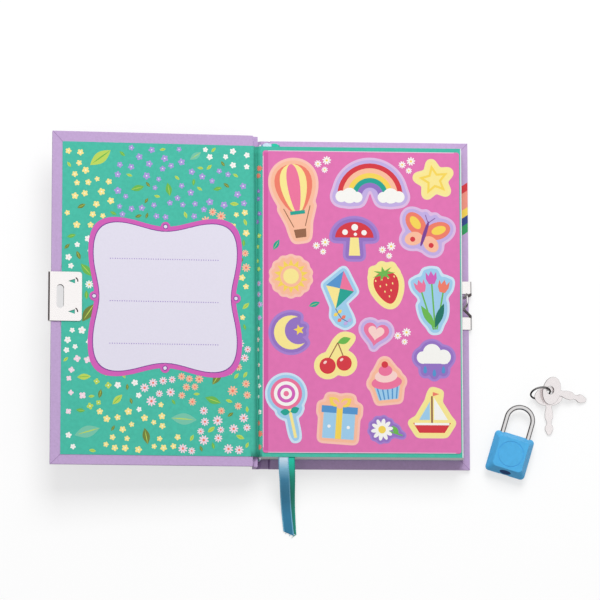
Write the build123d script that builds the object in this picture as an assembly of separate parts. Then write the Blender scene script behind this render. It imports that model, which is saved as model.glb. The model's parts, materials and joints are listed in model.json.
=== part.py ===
from build123d import *
import math
import os

os.makedirs("parts", exist_ok=True)

# Cover boards and their covering paper, in millimetres
COVER_HEIGHT = 188.0
COVER_WIDTH = 113.6
BOARD_THICK = 2.3
WRAP_THICK = 0.25
TURN_IN = 14.0
JOINT_GAP = 5.4
OPEN_ANGLE = 176.0

# Endpapers, loose leaves and page sections
PAPER_THICK = 0.25
PAPER_GAP = 0.1
PASTE_MARGIN_FORE = 5.7
PASTE_MARGIN_JOINT = 0.6
PAGE_END_SQUARE = 5.7
PAGE_SHIFT = -0.3
PAGE_SQUARE = 5.6
PAGE_LEAN = 0.4
SECTION_COUNT = 5
SECTION_THICK = 3.0
BLOCK_SET_BACK = 1.5
LEAF_SQUARE = 5.7
LEAF_START = 0.1
SHEET_END_SQUARE = 2.3
SHEET_SQUARE = 6.8
SHEET_START = 0.2
SHEET_CORNER = 1.5
COVER_CLEARANCE = 0.8
HINGE_DROP = 0.2
GUTTER_LIP = 0.65
GUTTER_SLOPE = 1.3
GUTTER_DEPTH = 0.9
GUTTER_WALL = 1.1
GUTTER_FLOOR = 2.0
GUTTER_COVER_SIDE = 0.5
GUTTER_COVER_DROP = 0.6
GUTTER_END = 0.4

# Spine, its lining and the bands at its ends
SPINE_THICK = 1.6
SPINE_FACE = 4.6
SPINE_FOOT = 0.3
SPINE_HEIGHT = 15.9
LINING_THICK = 0.35
LINING_INSET = 1.2
BAND_RADIUS = 0.75
BAND_TAB = 8.0

# Sheet-metal clasp on the fore edge
CLASP_SHEET = 0.6
CLASP_HEIGHT = 27.7
CLASP_DEPTH = 18.8
CLASP_CORNER = 1.8
WEB_GAP = 1.1
WEB_ROUND = 1.2
SLOT_LENGTH = 13.4
SLOT_WIDTH = 4.1
SLOT_SET_BACK = 5.0
PRONG_TIP = 11.1
PRONG_LENGTH = 3.8
PRONG_BASE = 2.65
PRONG_PITCH = 17.2
PRONG_BITE = 2.2
TAB_REACH = 6.6
WINDOW_HEIGHT = 13.5

# Loop that stands on the back clasp and comes through the slot
LOOP_SET_BACK = 3.95
LOOP_RISE = 6.4
LOOP_WIDTH = 7.8
LOOP_BAR = 1.5
LOOP_FOOT = 1.2
LOOP_BEND_LOW = 2.9
LOOP_BEND_HIGH = 11.0

# Page-marker ribbons
RIBBON_WIDTH = 6.0
RIBBON_THICK = 0.2
RIBBON_GAP = 0.02
BLUE_HEAD = 2.8
BLUE_TAIL = 12.0
GREEN_HEAD = 7.0
GREEN_TAIL = 15.5
HEAD_LOOP_RADIUS = 2.6
TAIL_DRIFT_BLUE = 4.1
TAIL_DRIFT_GREEN = 1.9
TAIL_LEAD_BLUE = 0.8
TAIL_LEAD_GREEN = 0.0
TAIL_REST_BLUE = 0.62
TAIL_REST_GREEN = 0.3
# Distance out from the pages, and share of the fall to the table
TAIL_ROUTE = [
    (0.0, 0.0),
    (4.5, 0.0),
    (10.0, 0.13),
    (15.5, 0.4),
    (21.0, 0.7),
    (27.0, 0.91),
    (34.0, 0.985),
    (41.0, 1.0),
]
TAIL_BEND_SHARE = 0.45

# Padlock, lying beside the book
LOCK_WIDTH = 23.0
LOCK_HEIGHT = 23.5
LOCK_THICK = 10.5
LOCK_CORNER = 2.2
LOCK_BEVEL_SIDE = 3.0
LOCK_BEVEL_DEEP = 4.6
LOCK_ASIDE = 22.4
LOCK_ALONG = -85.56
LOCK_TURN = 16.7
RING_MARK_RADIUS = 7.2
RING_MARK_WIDTH = 0.5
RING_MARK_DEEP = 0.25
SHACKLE_WIRE = 2.7
SHACKLE_SPAN = 15.0
SHACKLE_RISE = 17.7
SHORT_LEG_END = 0.7
LONG_LEG = 13.0
SHACKLE_PLAY = 0.1
JACKET_PLAY = 0.2
NOTCH_DEEP = 0.9
NOTCH_HEIGHT = 1.5
NOTCH_LEVEL = 1.3
CASE_WALL = 2.2
CASE_END_WALL = 2.1
CASE_THICK = 5.9
CASE_PLAY = 0.05
CHAMBER_HEIGHT = 10.0
CHAMBER_DEEP = 3.8
LATCH_SHEET = 0.4
LATCH_WIDE = 3.2
LATCH_BITE = 0.6
LATCH_WAIST = 3.2
WARD_THICK = 0.8
WARD_WIDTH = 12.0
KEYHOLE_WIDTH = 5.6
KEYHOLE_THICK = 1.9
SPRING_WIRE = 0.45
SPRING_RADIUS = 1.0
SPRING_TURNS = 4
SPRING_SIDES = 6

# Two flat keys on a split ring
KEY_ASIDE = 45.6
KEY_ALONG = -48.6
KEY_THICK = 1.0
KEY_HOLE = 4.6
KEY_BOW_ALONG = 5.5
KEY_BOW_ACROSS = 8.05
KEY_BOW_CENTRE = 1.0
KEY_LENGTH = 22.9
KEY_NECK = 1.6
KEY_LOBE = 2.35
KEY_WAIST = 1.35
KEY_TIP = 0.9
# Share of the blade's length, and half width of the blade there
KEY_BLADE = [
    (0.06, KEY_NECK),
    (0.24, KEY_LOBE),
    (0.42, KEY_LOBE),
    (0.53, KEY_WAIST),
    (0.62, KEY_WAIST),
    (0.72, KEY_LOBE),
    (0.82, KEY_LOBE),
    (1.0, KEY_TIP),
]
KEY_1_HEADING = -13.0
KEY_2_HEADING = -89.0
KEY_1_LIFT = 6.4
KEY_2_LIFT = 2.6
RING_RADIUS = 5.6
RING_WIRE = 1.1
RING_TILT = 61.6
RING_HEADING = 8.0
RING_SPLIT = 0.4
RING_SIDES = 8
TABLE_GAP = 0.05

# Places worked out from the sizes above; the origin is the centre of the back cover's outside
half_height = COVER_HEIGHT / 2
joint_edge = -COVER_WIDTH / 2
fore_edge = COVER_WIDTH / 2
hinge_x = joint_edge - JOINT_GAP
cover_thick = BOARD_THICK + 2 * WRAP_THICK
inner_face = cover_thick + PAPER_THICK
page_height = COVER_HEIGHT - 2 * PAGE_END_SQUARE
page_head = page_height / 2 + PAGE_SHIFT
page_tail = PAGE_SHIFT - page_height / 2
block_bottom = inner_face + PAPER_THICK + 2 * PAPER_GAP
block_top = block_bottom + SECTION_COUNT * SECTION_THICK
block_spine = hinge_x - BLOCK_SET_BACK
leaf_bottom = block_top + PAPER_GAP
leaf_top = leaf_bottom + PAPER_THICK
sheet_bottom = leaf_top + PAPER_GAP
sheet_top = sheet_bottom + PAPER_THICK
closed_face = sheet_top + COVER_CLEARANCE
closed_outside = closed_face + inner_face
hinge_z = closed_face - HINGE_DROP
web_inside = fore_edge + WEB_GAP
web_outside = web_inside + CLASP_SHEET
slot_x = fore_edge - SLOT_SET_BACK
case_height = LOCK_HEIGHT - 2 * CASE_END_WALL


def block(x_low, x_high, y_low, y_high, z_low, z_high):
    """A plain box between two opposite corners."""
    centre = Pos((x_low + x_high) / 2, (y_low + y_high) / 2, (z_low + z_high) / 2)
    return centre * Box(x_high - x_low, y_high - y_low, z_high - z_low)


def offset_line(points, distance):
    """Points of a line in XZ moved sideways by a distance, with mitred corners."""
    spots = [Vector(x, 0, z) for x, z in points]
    headings = [(after - before).normalized() for before, after in zip(spots, spots[1:])]
    moved = []
    for index, spot in enumerate(spots):
        arriving = headings[max(index - 1, 0)]
        leaving = headings[min(index, len(headings) - 1)]
        middle = (arriving + leaving).normalized()
        reach = distance / middle.dot(leaving)
        moved.append(spot + Vector(-middle.Z, 0, middle.X) * reach)
    return moved


def folded_strip(points, thickness, y_low, y_high):
    """A sheet of even thickness, folded along a line in XZ and run along Y."""
    outline = offset_line(points, thickness / 2) + offset_line(points, -thickness / 2)[::-1]
    face = make_face(Polyline(*outline, close=True))
    return Pos(0, y_low, 0) * extrude(face, amount=y_high - y_low, dir=(0, 1, 0))


def cover_clasp_box(leaf_low, leaf_high, depth):
    """A U of sheet metal round the fore edge, with its outer leaf flush in the cover."""
    low = web_outside - depth
    half = CLASP_HEIGHT / 2
    solid = block(low, web_outside, -half, half, 0, leaf_high)
    web_edges = solid.edges().filter_by(Axis.Y).group_by(Axis.X)[-1]
    solid = fillet(web_edges, WEB_ROUND)
    corner_edges = solid.edges().filter_by(Axis.Z).group_by(Axis.X)[0]
    solid = fillet(corner_edges, CLASP_CORNER)
    return solid - block(low - depth, web_inside, -CLASP_HEIGHT, CLASP_HEIGHT, CLASP_SHEET, leaf_low)


def front_clasp():
    """The slotted clasp of the front cover, with two prongs pressed into the board."""
    leaf_high = inner_face + CLASP_SHEET
    clasp = cover_clasp_box(inner_face, leaf_high, CLASP_DEPTH)
    prong_base = web_outside - PRONG_TIP - PRONG_LENGTH
    for side in (-1, 1):
        centre = side * PRONG_PITCH / 2
        tip = (prong_base + PRONG_LENGTH, centre)
        low = (prong_base, centre - PRONG_BASE / 2)
        high = (prong_base, centre + PRONG_BASE / 2)
        hole = extrude(make_face(Polyline(tip, high, low, close=True)), amount=CLASP_SHEET)
        clasp -= Pos(0, 0, inner_face) * hole
        spike_face = make_face(Polyline(
            (prong_base, centre - PRONG_BASE / 2, leaf_high),
            (prong_base, centre + PRONG_BASE / 2, leaf_high),
            (prong_base, centre, inner_face - PRONG_BITE),
            close=True,
        ))
        clasp += extrude(spike_face, amount=CLASP_SHEET, dir=(-1, 0, 0))
    return clasp - slot_through()


def slot_through():
    """The long slot through the front cover, for the loop of the back clasp."""
    outline = SlotOverall(SLOT_LENGTH, SLOT_WIDTH, rotation=90)
    depth = inner_face + 2 * CLASP_SHEET
    return Pos(slot_x, 0, -CLASP_SHEET / 2) * extrude(outline, amount=depth)


def back_clasp():
    """The back clasp: two tabs, and a tall loop bent up from the metal between them."""
    clasp = cover_clasp_box(cover_thick, cover_thick + CLASP_SHEET, CLASP_DEPTH)
    half_window = WINDOW_HEIGHT / 2
    tab_low = web_outside - TAB_REACH
    high = cover_thick + 2 * CLASP_SHEET
    leaf_low = web_outside - 2 * CLASP_DEPTH
    clasp -= block(leaf_low, tab_low, -CLASP_HEIGHT, CLASP_HEIGHT, CLASP_SHEET, high)
    clasp -= block(leaf_low, web_outside + WEB_GAP, -half_window, half_window, CLASP_SHEET, high)
    half_notch = half_window - LOOP_BAR
    clasp -= block(fore_edge, web_outside + WEB_GAP, -half_notch, half_notch, -CLASP_SHEET, high)
    return clasp + clasp_loop()


def clasp_loop():
    """A strip bent inwards from the web and upright, then cut to an arch with flared feet."""
    loop_x = fore_edge - LOOP_SET_BACK
    web_x = (web_inside + web_outside) / 2
    top = closed_outside + LOOP_RISE
    bends = [(web_x, LOOP_FOOT), (web_x, LOOP_BEND_LOW), (loop_x, LOOP_BEND_HIGH), (loop_x, top)]
    reach = WINDOW_HEIGHT
    bent = folded_strip(bends, CLASP_SHEET, -reach, reach)
    foot = WINDOW_HEIGHT / 2 + LOOP_BAR / 3
    outside = arch_face(LOOP_WIDTH / 2, foot, top)
    inside = arch_face(LOOP_WIDTH / 2 - LOOP_BAR, foot - LOOP_BAR, top - LOOP_BAR)
    span = 2 * CLASP_DEPTH
    cutter = extrude(outside - inside, amount=span, dir=(1, 0, 0))
    return bent & (Pos(loop_x - CLASP_DEPTH, 0, 0) * cutter)


def arch_face(half_width, half_foot, top):
    """A round-topped arch in YZ whose feet spread apart."""
    spring = top - half_width
    lines = [
        Polyline(
            (0, -half_width, spring),
            (0, -half_width, LOOP_BEND_HIGH),
            (0, -half_foot, LOOP_BEND_LOW),
            (0, -half_foot, 0),
            (0, half_foot, 0),
            (0, half_foot, LOOP_BEND_LOW),
            (0, half_width, LOOP_BEND_HIGH),
            (0, half_width, spring),
        ),
        ThreePointArc((0, half_width, spring), (0, 0, top), (0, -half_width, spring)),
    ]
    return make_face(lines)


def cover_pieces(clasp, slotted):
    """Board, covering paper and pastedown of one cover, lying with its outside at z = 0."""
    edge = half_height - WRAP_THICK
    board_top = WRAP_THICK + BOARD_THICK
    board = block(joint_edge + WRAP_THICK, fore_edge - WRAP_THICK, -edge, edge, WRAP_THICK, board_top)
    window_edge = half_height - TURN_IN
    window_low = joint_edge + WRAP_THICK
    window_high = fore_edge - TURN_IN
    window = block(window_low, window_high, -window_edge, window_edge, board_top, cover_thick)
    wrap = block(joint_edge, fore_edge, -half_height, half_height, 0, cover_thick) - board - window
    paste_low = joint_edge + PASTE_MARGIN_JOINT
    paste_high = fore_edge - PASTE_MARGIN_FORE
    pastedown = block(paste_low, paste_high, page_tail, page_head, cover_thick, inner_face) + window
    pieces = {"board": board - clasp, "wrap": wrap - clasp, "pastedown": pastedown - clasp}
    if slotted:
        pieces = {name: solid - slot_through() for name, solid in pieces.items()}
    return pieces


def swung_open(solid):
    """A front cover piece, flipped over the closed book and then opened about the hinge line."""
    closed = Pos(0, 0, closed_outside) * mirror(solid, about=Plane.XY)
    return closed.rotate(Axis((hinge_x, 0, hinge_z), (0, -1, 0)), OPEN_ANGLE)


def case_nodes():
    """Front and back covers with their clasps, and the spine between them."""
    nodes = {}
    clasp = front_clasp()
    for name, solid in cover_pieces(clasp, True).items():
        nodes["front_" + name] = swung_open(solid)
    nodes["front_clasp"] = swung_open(clasp)
    clasp = back_clasp()
    for name, solid in cover_pieces(clasp, False).items():
        nodes["back_" + name] = solid
    nodes["back_clasp"] = clasp
    nodes.update(spine_nodes())
    return nodes


def spine_nodes():
    """The spine board in its paper, with the bending strips at either side of it."""
    nodes = {}
    low = SPINE_FOOT
    high = SPINE_FOOT + SPINE_HEIGHT
    face = hinge_x - SPINE_FACE
    board_face = face + WRAP_THICK
    board_back = board_face + SPINE_THICK
    edge = half_height - WRAP_THICK
    board = block(board_face, board_back, -edge, edge, low, high)
    sleeve = block(face, board_back + WRAP_THICK, -half_height, half_height, low, high)
    hollow = half_height - TURN_IN
    window = block(board_back, board_back + WRAP_THICK, -hollow, hollow, low, high)
    nodes["spine_board"] = board
    nodes["spine_wrap"] = sleeve - board - window
    rest = SPINE_FOOT / 2
    groove = cover_thick - 2 * WRAP_THICK - BOARD_THICK / 4
    back_line = [
        (joint_edge, 2 * WRAP_THICK),
        (joint_edge - 2 * WRAP_THICK, 2 * WRAP_THICK),
        (joint_edge - 5 * WRAP_THICK, groove),
        (hinge_x + WRAP_THICK * 2, groove),
        (hinge_x - BLOCK_SET_BACK, rest),
        (face, rest),
    ]
    nodes["back_joint"] = folded_strip(back_line, WRAP_THICK, -half_height, half_height)
    strip_x = face + WRAP_THICK / 2
    front_line = [(strip_x, high), (strip_x, hinge_z - 2 * WRAP_THICK - PAPER_THICK * 2)]
    nodes["front_joint"] = folded_strip(front_line, WRAP_THICK, -half_height, half_height)
    return nodes


def block_nodes():
    """Sewn page sections, endpapers, spine lining and end bands."""
    nodes = {}
    for index in range(SECTION_COUNT):
        bottom = block_bottom + index * SECTION_THICK
        nodes[f"page_section_{index + 1}"] = page_section(bottom, SECTION_COUNT - 1 - index)
    top_name = f"page_section_{SECTION_COUNT}"
    for groove in ribbon_grooves():
        nodes[top_name] -= groove
    leaf_low = hinge_x - LEAF_START
    leaf_high = fore_edge - LEAF_SQUARE
    back_low = block_bottom - PAPER_GAP - PAPER_THICK
    back_high = back_low + PAPER_THICK
    nodes["back_flyleaf"] = block(leaf_low, leaf_high, page_tail, page_head, back_low, back_high)
    nodes["flyleaf"] = block(leaf_low, leaf_high, page_tail, page_head, leaf_bottom, leaf_top)
    nodes["sticker_sheet"] = sticker_sheet()
    nodes["endpaper_hinge"] = folded_strip(gutter_line(), PAPER_THICK, page_tail, page_head)
    lining_high = block_top - LINING_INSET
    lining_low = block_bottom + LINING_INSET
    tail = page_tail + BAND_TAB / 2
    head = page_head - BAND_TAB / 2
    lining_face = block_spine - LINING_THICK
    nodes["spine_lining"] = block(lining_face, block_spine, tail, head, lining_low, lining_high)
    nodes["headband_top"] = end_band(page_head, 1, lining_low, lining_high)
    nodes["headband_bottom"] = end_band(page_tail, -1, lining_low, lining_high)
    return nodes


def page_section(bottom, steps_out):
    """One folded gathering of pages: round at the fold, leaning at the fore edge."""
    top = bottom + SECTION_THICK
    edge_high = fore_edge - PAGE_SQUARE + steps_out * PAGE_LEAN
    edge_low = edge_high + PAGE_LEAN
    bulge = SECTION_THICK / 2
    lines = [
        Polyline(
            (block_spine + bulge, 0, bottom),
            (edge_low, 0, bottom),
            (edge_high, 0, top),
            (block_spine + bulge, 0, top),
        ),
        ThreePointArc(
            (block_spine + bulge, 0, top),
            (block_spine, 0, bottom + bulge),
            (block_spine + bulge, 0, bottom),
        ),
    ]
    solid = extrude(make_face(lines), amount=page_height, dir=(0, 1, 0))
    return Pos(0, page_tail, 0) * solid


def sticker_sheet():
    """The sticker sheet on the flyleaf, with rounded corners."""
    low = hinge_x + SHEET_START
    high = fore_edge - SHEET_SQUARE
    height = page_height - 2 * SHEET_END_SQUARE
    outline = RectangleRounded(high - low, height, SHEET_CORNER)
    return Pos((low + high) / 2, PAGE_SHIFT, sheet_bottom) * extrude(outline, amount=PAPER_THICK)


def gutter_line():
    """The endpaper's valley, from the flyleaf's edge down behind the pages and up to the cover."""
    valley = block_top - GUTTER_DEPTH
    leaf_edge = hinge_x - LEAF_START
    return [
        (leaf_edge - GUTTER_LIP, leaf_bottom + PAPER_THICK / 2),
        (leaf_edge - GUTTER_SLOPE, block_top),
        (block_spine - GUTTER_WALL, valley),
        (block_spine - GUTTER_FLOOR, valley),
        (hinge_x - SPINE_FACE + GUTTER_COVER_SIDE, hinge_z - GUTTER_COVER_DROP),
        (hinge_x - JOINT_GAP + GUTTER_END, hinge_z),
    ]


def end_band(edge, side, low, high):
    """A cloth end band: a bead along the spine's end on a short glued tab."""
    bead_x = block_spine - LINING_THICK + BAND_RADIUS
    bead = Cylinder(BAND_RADIUS, high - low)
    band = Pos(bead_x, edge + side * BAND_RADIUS, (low + high) / 2) * bead
    tab_x = block_spine - LINING_THICK
    tab_ends = sorted((edge + side * BAND_RADIUS, edge - side * BAND_TAB / 2))
    return band + block(tab_x, block_spine, tab_ends[0], tab_ends[1], low, high)


def ribbon_levels():
    """Underside heights of the green ribbon, and of the blue one that lies over it."""
    blue_low = block_top - RIBBON_GAP - RIBBON_THICK
    green_low = blue_low - RIBBON_GAP - RIBBON_THICK
    return {"blue": blue_low, "green": green_low}


def ribbon_ends():
    """Centre of each ribbon at the head and at the tail, from the hinge line."""
    return {"blue": (BLUE_HEAD, BLUE_TAIL), "green": (GREEN_HEAD, GREEN_TAIL)}


def ribbon_run(name, low, high):
    """The straight run of a ribbon down the page, between two heights."""
    head_x, tail_x = ribbon_ends()[name]
    half = RIBBON_WIDTH / 2
    outline = Polyline(
        (hinge_x + head_x - half, page_head),
        (hinge_x + head_x + half, page_head),
        (hinge_x + tail_x + half, page_tail),
        (hinge_x + tail_x - half, page_tail),
        close=True,
    )
    return Pos(0, 0, low) * extrude(make_face(outline), amount=high - low)


def ribbon_grooves():
    """Hollows that the ribbons press into the top pages."""
    levels = ribbon_levels()
    return [ribbon_run(name, low - RIBBON_GAP, block_top) for name, low in levels.items()]


def ribbon_nodes():
    """Both ribbons: a loop over the head, the run down the page and the free tail."""
    nodes = {}
    tails = {
        "blue": (TAIL_DRIFT_BLUE, TAIL_LEAD_BLUE, TAIL_REST_BLUE),
        "green": (TAIL_DRIFT_GREEN, TAIL_LEAD_GREEN, TAIL_REST_GREEN),
    }
    for name, low in ribbon_levels().items():
        high = low + RIBBON_THICK
        head_x, tail_x = ribbon_ends()[name]
        centre_z = block_top - HEAD_LOOP_RADIUS
        ring = Circle(high - centre_z) - Circle(low - centre_z)
        ring &= Pos(HEAD_LOOP_RADIUS, 0) * Rectangle(2 * HEAD_LOOP_RADIUS, 4 * HEAD_LOOP_RADIUS)
        corner = (hinge_x + head_x - RIBBON_WIDTH / 2, page_head, centre_z)
        section = Plane(corner, x_dir=(0, 1, 0), z_dir=(1, 0, 0)) * ring
        loop = extrude(section, amount=RIBBON_WIDTH, dir=(1, 0, 0))
        nodes[f"ribbon_{name}"] = ribbon_run(name, low, high) + loop
        drift, lead, rest = tails[name]
        start = low + RIBBON_THICK / 2
        nodes[f"ribbon_{name}_tail"] = ribbon_tail(tail_x, drift, lead, start, rest)
    return nodes


def ribbon_tail(tail_x, drift, lead, start_z, rest_z):
    """The free end of a ribbon, drooping from the tail of the pages to the table."""
    first_run = TAIL_ROUTE[1][0]
    reach = TAIL_ROUTE[-1][0]
    points = []
    for along, fall in TAIL_ROUTE:
        aside = drift * max(along - first_run, 0) / (reach - first_run)
        out = along + lead if along else 0
        points.append((hinge_x + tail_x + aside, page_tail - out, start_z - fall * (start_z - rest_z)))
    path = FilletPolyline(*points, radius=bend_radii(points))
    section = Plane(path @ 0, x_dir=(1, 0, 0), z_dir=path % 0) * Rectangle(RIBBON_WIDTH, RIBBON_THICK)
    return sweep(section, path)


def bend_radii(points):
    """The largest easy radius at each corner of a route."""
    spots = [Vector(*point) for point in points]
    radii = []
    for before, corner, after in zip(spots, spots[1:], spots[2:]):
        turn = math.radians((corner - before).get_angle(after - corner))
        shorter = min((corner - before).length, (after - corner).length)
        radii.append(TAIL_BEND_SHARE * shorter / math.tan(turn / 2))
    print("ribbon bend radii", [round(radius, 1) for radius in radii])
    return radii


def lock_place():
    """Where the padlock lies: turned on the table beside the fore edge."""
    return Location((fore_edge + LOCK_ASIDE, LOCK_ALONG, 0), (0, 0, -LOCK_TURN))


def lock_jacket():
    """One half of the moulded jacket, parting face down, bevelled all round its face."""
    half = LOCK_THICK / 2
    outline = RectangleRounded(LOCK_WIDTH, LOCK_HEIGHT, LOCK_CORNER)
    face_width = LOCK_WIDTH - 2 * LOCK_BEVEL_SIDE
    face_height = LOCK_HEIGHT - 2 * LOCK_BEVEL_SIDE
    face = RectangleRounded(face_width, face_height, LOCK_CORNER)
    wall_top = half - LOCK_BEVEL_DEEP
    shell = extrude(outline, amount=wall_top)
    shell += loft([Pos(0, 0, wall_top) * outline, Pos(0, 0, half) * face], ruled=True)
    shell -= Box(case_width() + 2 * CASE_PLAY, case_height + 2 * CASE_PLAY, CASE_THICK + 2 * CASE_PLAY)
    for side in (-1, 1):
        bore = Cylinder(SHACKLE_WIRE / 2 + JACKET_PLAY, LOCK_HEIGHT, rotation=(90, 0, 0))
        shell -= Pos(side * SHACKLE_SPAN / 2, LOCK_HEIGHT / 2, 0) * bore
    shell -= Pos(0, -LOCK_HEIGHT / 2, 0) * Box(KEYHOLE_WIDTH, LOCK_HEIGHT / 2, KEYHOLE_THICK)
    return shell


def case_width():
    """Width of the lock case, leaving the jacket's side walls."""
    return LOCK_WIDTH - 2 * CASE_WALL


def lock_case():
    """The metal case: bores for both legs, a chamber for the latch and a key channel."""
    foot = -case_height / 2 + WARD_THICK
    side = case_width() / 2
    case = block(-side, side, foot, case_height / 2, -CASE_THICK / 2, CASE_THICK / 2)
    bore_radius = SHACKLE_WIRE / 2 + SHACKLE_PLAY
    body_top = LOCK_HEIGHT / 2
    long_foot = -case_height / 2 + CASE_WALL / 2
    short_foot = short_leg_foot() - 2 * SHACKLE_PLAY
    for leg, floor in ((-1, long_foot), (1, short_foot)):
        bore = Cylinder(bore_radius, body_top - floor, rotation=(90, 0, 0))
        case -= Pos(leg * SHACKLE_SPAN / 2, (body_top + floor) / 2, 0) * bore
    top = chamber_top()
    reach = SHACKLE_SPAN / 2 - SHACKLE_WIRE / 2 + LATCH_BITE + 2 * SHACKLE_PLAY
    chamber_floor = -CHAMBER_DEEP / 2
    case -= block(-reach, reach, top - CHAMBER_HEIGHT, top, chamber_floor, CASE_THICK / 2)
    channel = Box(KEYHOLE_WIDTH, case_height, KEYHOLE_THICK)
    return case - Pos(0, top - case_height / 2, 0) * channel


def chamber_top():
    """Height of the latch chamber's upper wall."""
    return notch_height() + NOTCH_HEIGHT


def notch_height():
    """Height of the notches in the shackle's legs, with the shackle shut."""
    return case_height / 2 - NOTCH_LEVEL - NOTCH_HEIGHT / 2


def short_leg_foot():
    """Height of the short leg's end, a little below its notch."""
    return notch_height() - NOTCH_HEIGHT / 2 - SHORT_LEG_END


def shackle():
    """A bent steel rod with a long and a short leg, each notched on its inner side."""
    half = SHACKLE_SPAN / 2
    body_top = LOCK_HEIGHT / 2
    spring = body_top + SHACKLE_RISE - SHACKLE_WIRE / 2 - half
    path = Polyline((-half, body_top - LONG_LEG), (-half, spring))
    path += ThreePointArc((-half, spring), (0, spring + half), (half, spring))
    path += Polyline((half, spring), (half, short_leg_foot()))
    rod = sweep(Plane(path @ 0, z_dir=path % 0) * Circle(SHACKLE_WIRE / 2), path)
    for side in (-1, 1):
        inner = side * (half - SHACKLE_WIRE / 2)
        rod -= Pos(inner, notch_height(), 0) * Box(2 * NOTCH_DEEP, NOTCH_HEIGHT, 2 * SHACKLE_WIRE)
    return rod


def latch_spring():
    """A U of spring sheet whose arms bite into the shackle's notches."""
    tip = SHACKLE_SPAN / 2 - SHACKLE_WIRE / 2 + LATCH_BITE
    level = notch_height()
    floor = chamber_top() - CHAMBER_HEIGHT + LATCH_SHEET
    shoulder = level - NOTCH_HEIGHT
    arm = [(tip, level), (LATCH_WAIST + LATCH_SHEET, level), (LATCH_WAIST, shoulder), (LATCH_WAIST, floor)]
    line = arm + [(-x, z) for x, z in arm[::-1]]
    strip = folded_strip(line, LATCH_SHEET, -LATCH_WIDE / 2, LATCH_WIDE / 2)
    return strip.rotate(Axis.X, -90)


def shackle_spring():
    """The coil under the long leg that throws the shackle open."""
    top = LOCK_HEIGHT / 2 - LONG_LEG - SPRING_WIRE
    floor = -case_height / 2 + CASE_WALL / 2 + SPRING_WIRE
    pitch = (top - floor) / SPRING_TURNS
    coil = Helix(pitch, top - floor, SPRING_RADIUS)
    section = Plane(coil @ 0, z_dir=coil % 0) * RegularPolygon(SPRING_WIRE / 2, SPRING_SIDES)
    spring = sweep(section, coil, is_frenet=True)
    return Pos(-SHACKLE_SPAN / 2, floor, 0) * spring.rotate(Axis.X, -90)


def ward_plate():
    """The plate at the key's end of the case, pierced for the key."""
    foot = -case_height / 2
    plate = block(-WARD_WIDTH / 2, WARD_WIDTH / 2, foot, foot + WARD_THICK, -CASE_THICK / 2, CASE_THICK / 2)
    return plate - Pos(0, foot, 0) * Box(KEYHOLE_WIDTH, 3 * WARD_THICK, KEYHOLE_THICK)


def lock_nodes():
    """The padlock's pieces, built about its centre and laid on the table."""
    mark_outside = Circle(RING_MARK_RADIUS + RING_MARK_WIDTH / 2)
    mark = extrude(mark_outside - Circle(RING_MARK_RADIUS - RING_MARK_WIDTH / 2), amount=RING_MARK_DEEP)
    front = lock_jacket() - Pos(0, 0, LOCK_THICK / 2 - RING_MARK_DEEP) * mark
    pieces = {
        "lock_jacket_front": front,
        "lock_jacket_back": mirror(lock_jacket(), about=Plane.XY),
        "lock_case": lock_case(),
        "shackle": shackle(),
        "latch_spring": latch_spring(),
        "shackle_spring": shackle_spring(),
        "ward_plate": ward_plate(),
    }
    place = lock_place() * Pos(0, 0, LOCK_THICK / 2)
    return {name: place * solid for name, solid in pieces.items()}


def key_blank():
    """A flat warded key with its hole at the origin and its blade along X."""
    bow = Pos(KEY_BOW_CENTRE, 0) * Ellipse(KEY_BOW_ALONG, KEY_BOW_ACROSS)
    shoulder = KEY_BOW_CENTRE + KEY_BOW_ALONG
    blade_length = KEY_LENGTH - shoulder
    upper = [(KEY_BOW_CENTRE, KEY_LOBE)]
    upper += [(shoulder + share * blade_length, half_width) for share, half_width in KEY_BLADE]
    lower = [(x, -y) for x, y in upper[::-1]]
    blade = make_face(Polyline(*upper, *lower, close=True))
    outline = bow + blade - Circle(KEY_HOLE / 2)
    return extrude(outline, amount=KEY_THICK)


def ring_axes():
    """The ring's level axis, and its tilted axis that points down to the table."""
    turn = math.radians(RING_HEADING)
    tilt = math.radians(RING_TILT)
    level = Vector(math.cos(turn), math.sin(turn), 0)
    down = Vector(math.sin(turn) * math.cos(tilt), -math.cos(turn) * math.cos(tilt), -math.sin(tilt))
    return level, down


def ring_point(height):
    """Where the ring's wire, from its centre, comes down through a given height."""
    level, down = ring_axes()
    sine = (height - ring_height()) / (RING_RADIUS * down.Z)
    return level * (RING_RADIUS * math.sqrt(1 - sine * sine)) + down * (RING_RADIUS * sine)


def ring_height():
    """Height of the ring's centre when its lowest wire lies on the table."""
    return RING_RADIUS * math.sin(math.radians(RING_TILT)) + RING_WIRE / 2 + TABLE_GAP


def ring_centre():
    """The ring's centre, placed so that its wire goes through the first key's hole."""
    crossing = ring_point(KEY_1_LIFT + KEY_THICK / 2)
    return (fore_edge + KEY_ASIDE - crossing.X, KEY_ALONG - crossing.Y, ring_height())


def key_location(lift, heading):
    """A key with the ring through its hole and its tip lowered to the table."""
    centre = ring_centre()
    crossing = ring_point(lift + KEY_THICK / 2)
    dip = math.degrees(math.asin((lift - TABLE_GAP) / KEY_LENGTH))
    hole = Location((centre[0] + crossing.X, centre[1] + crossing.Y, lift))
    return hole * Rot(0, 0, heading) * Rot(0, dip, 0)


def key_nodes():
    """Two keys on their split ring."""
    level, down = ring_axes()
    plane = Plane(ring_centre(), x_dir=level, z_dir=level.cross(down))
    wire = Plane.XZ * (Pos(RING_RADIUS, 0) * RegularPolygon(RING_WIRE / 2, RING_SIDES))
    ring = revolve(wire, Axis.Z)
    split = Pos(-RING_RADIUS, 0, 0) * Box(2 * RING_WIRE, RING_SPLIT, 2 * RING_WIRE)
    return {
        "key_ring": plane * (ring - split),
        "key_1": key_location(KEY_1_LIFT, KEY_1_HEADING) * key_blank(),
        "key_2": key_location(KEY_2_LIFT, KEY_2_HEADING) * key_blank(),
    }


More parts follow.
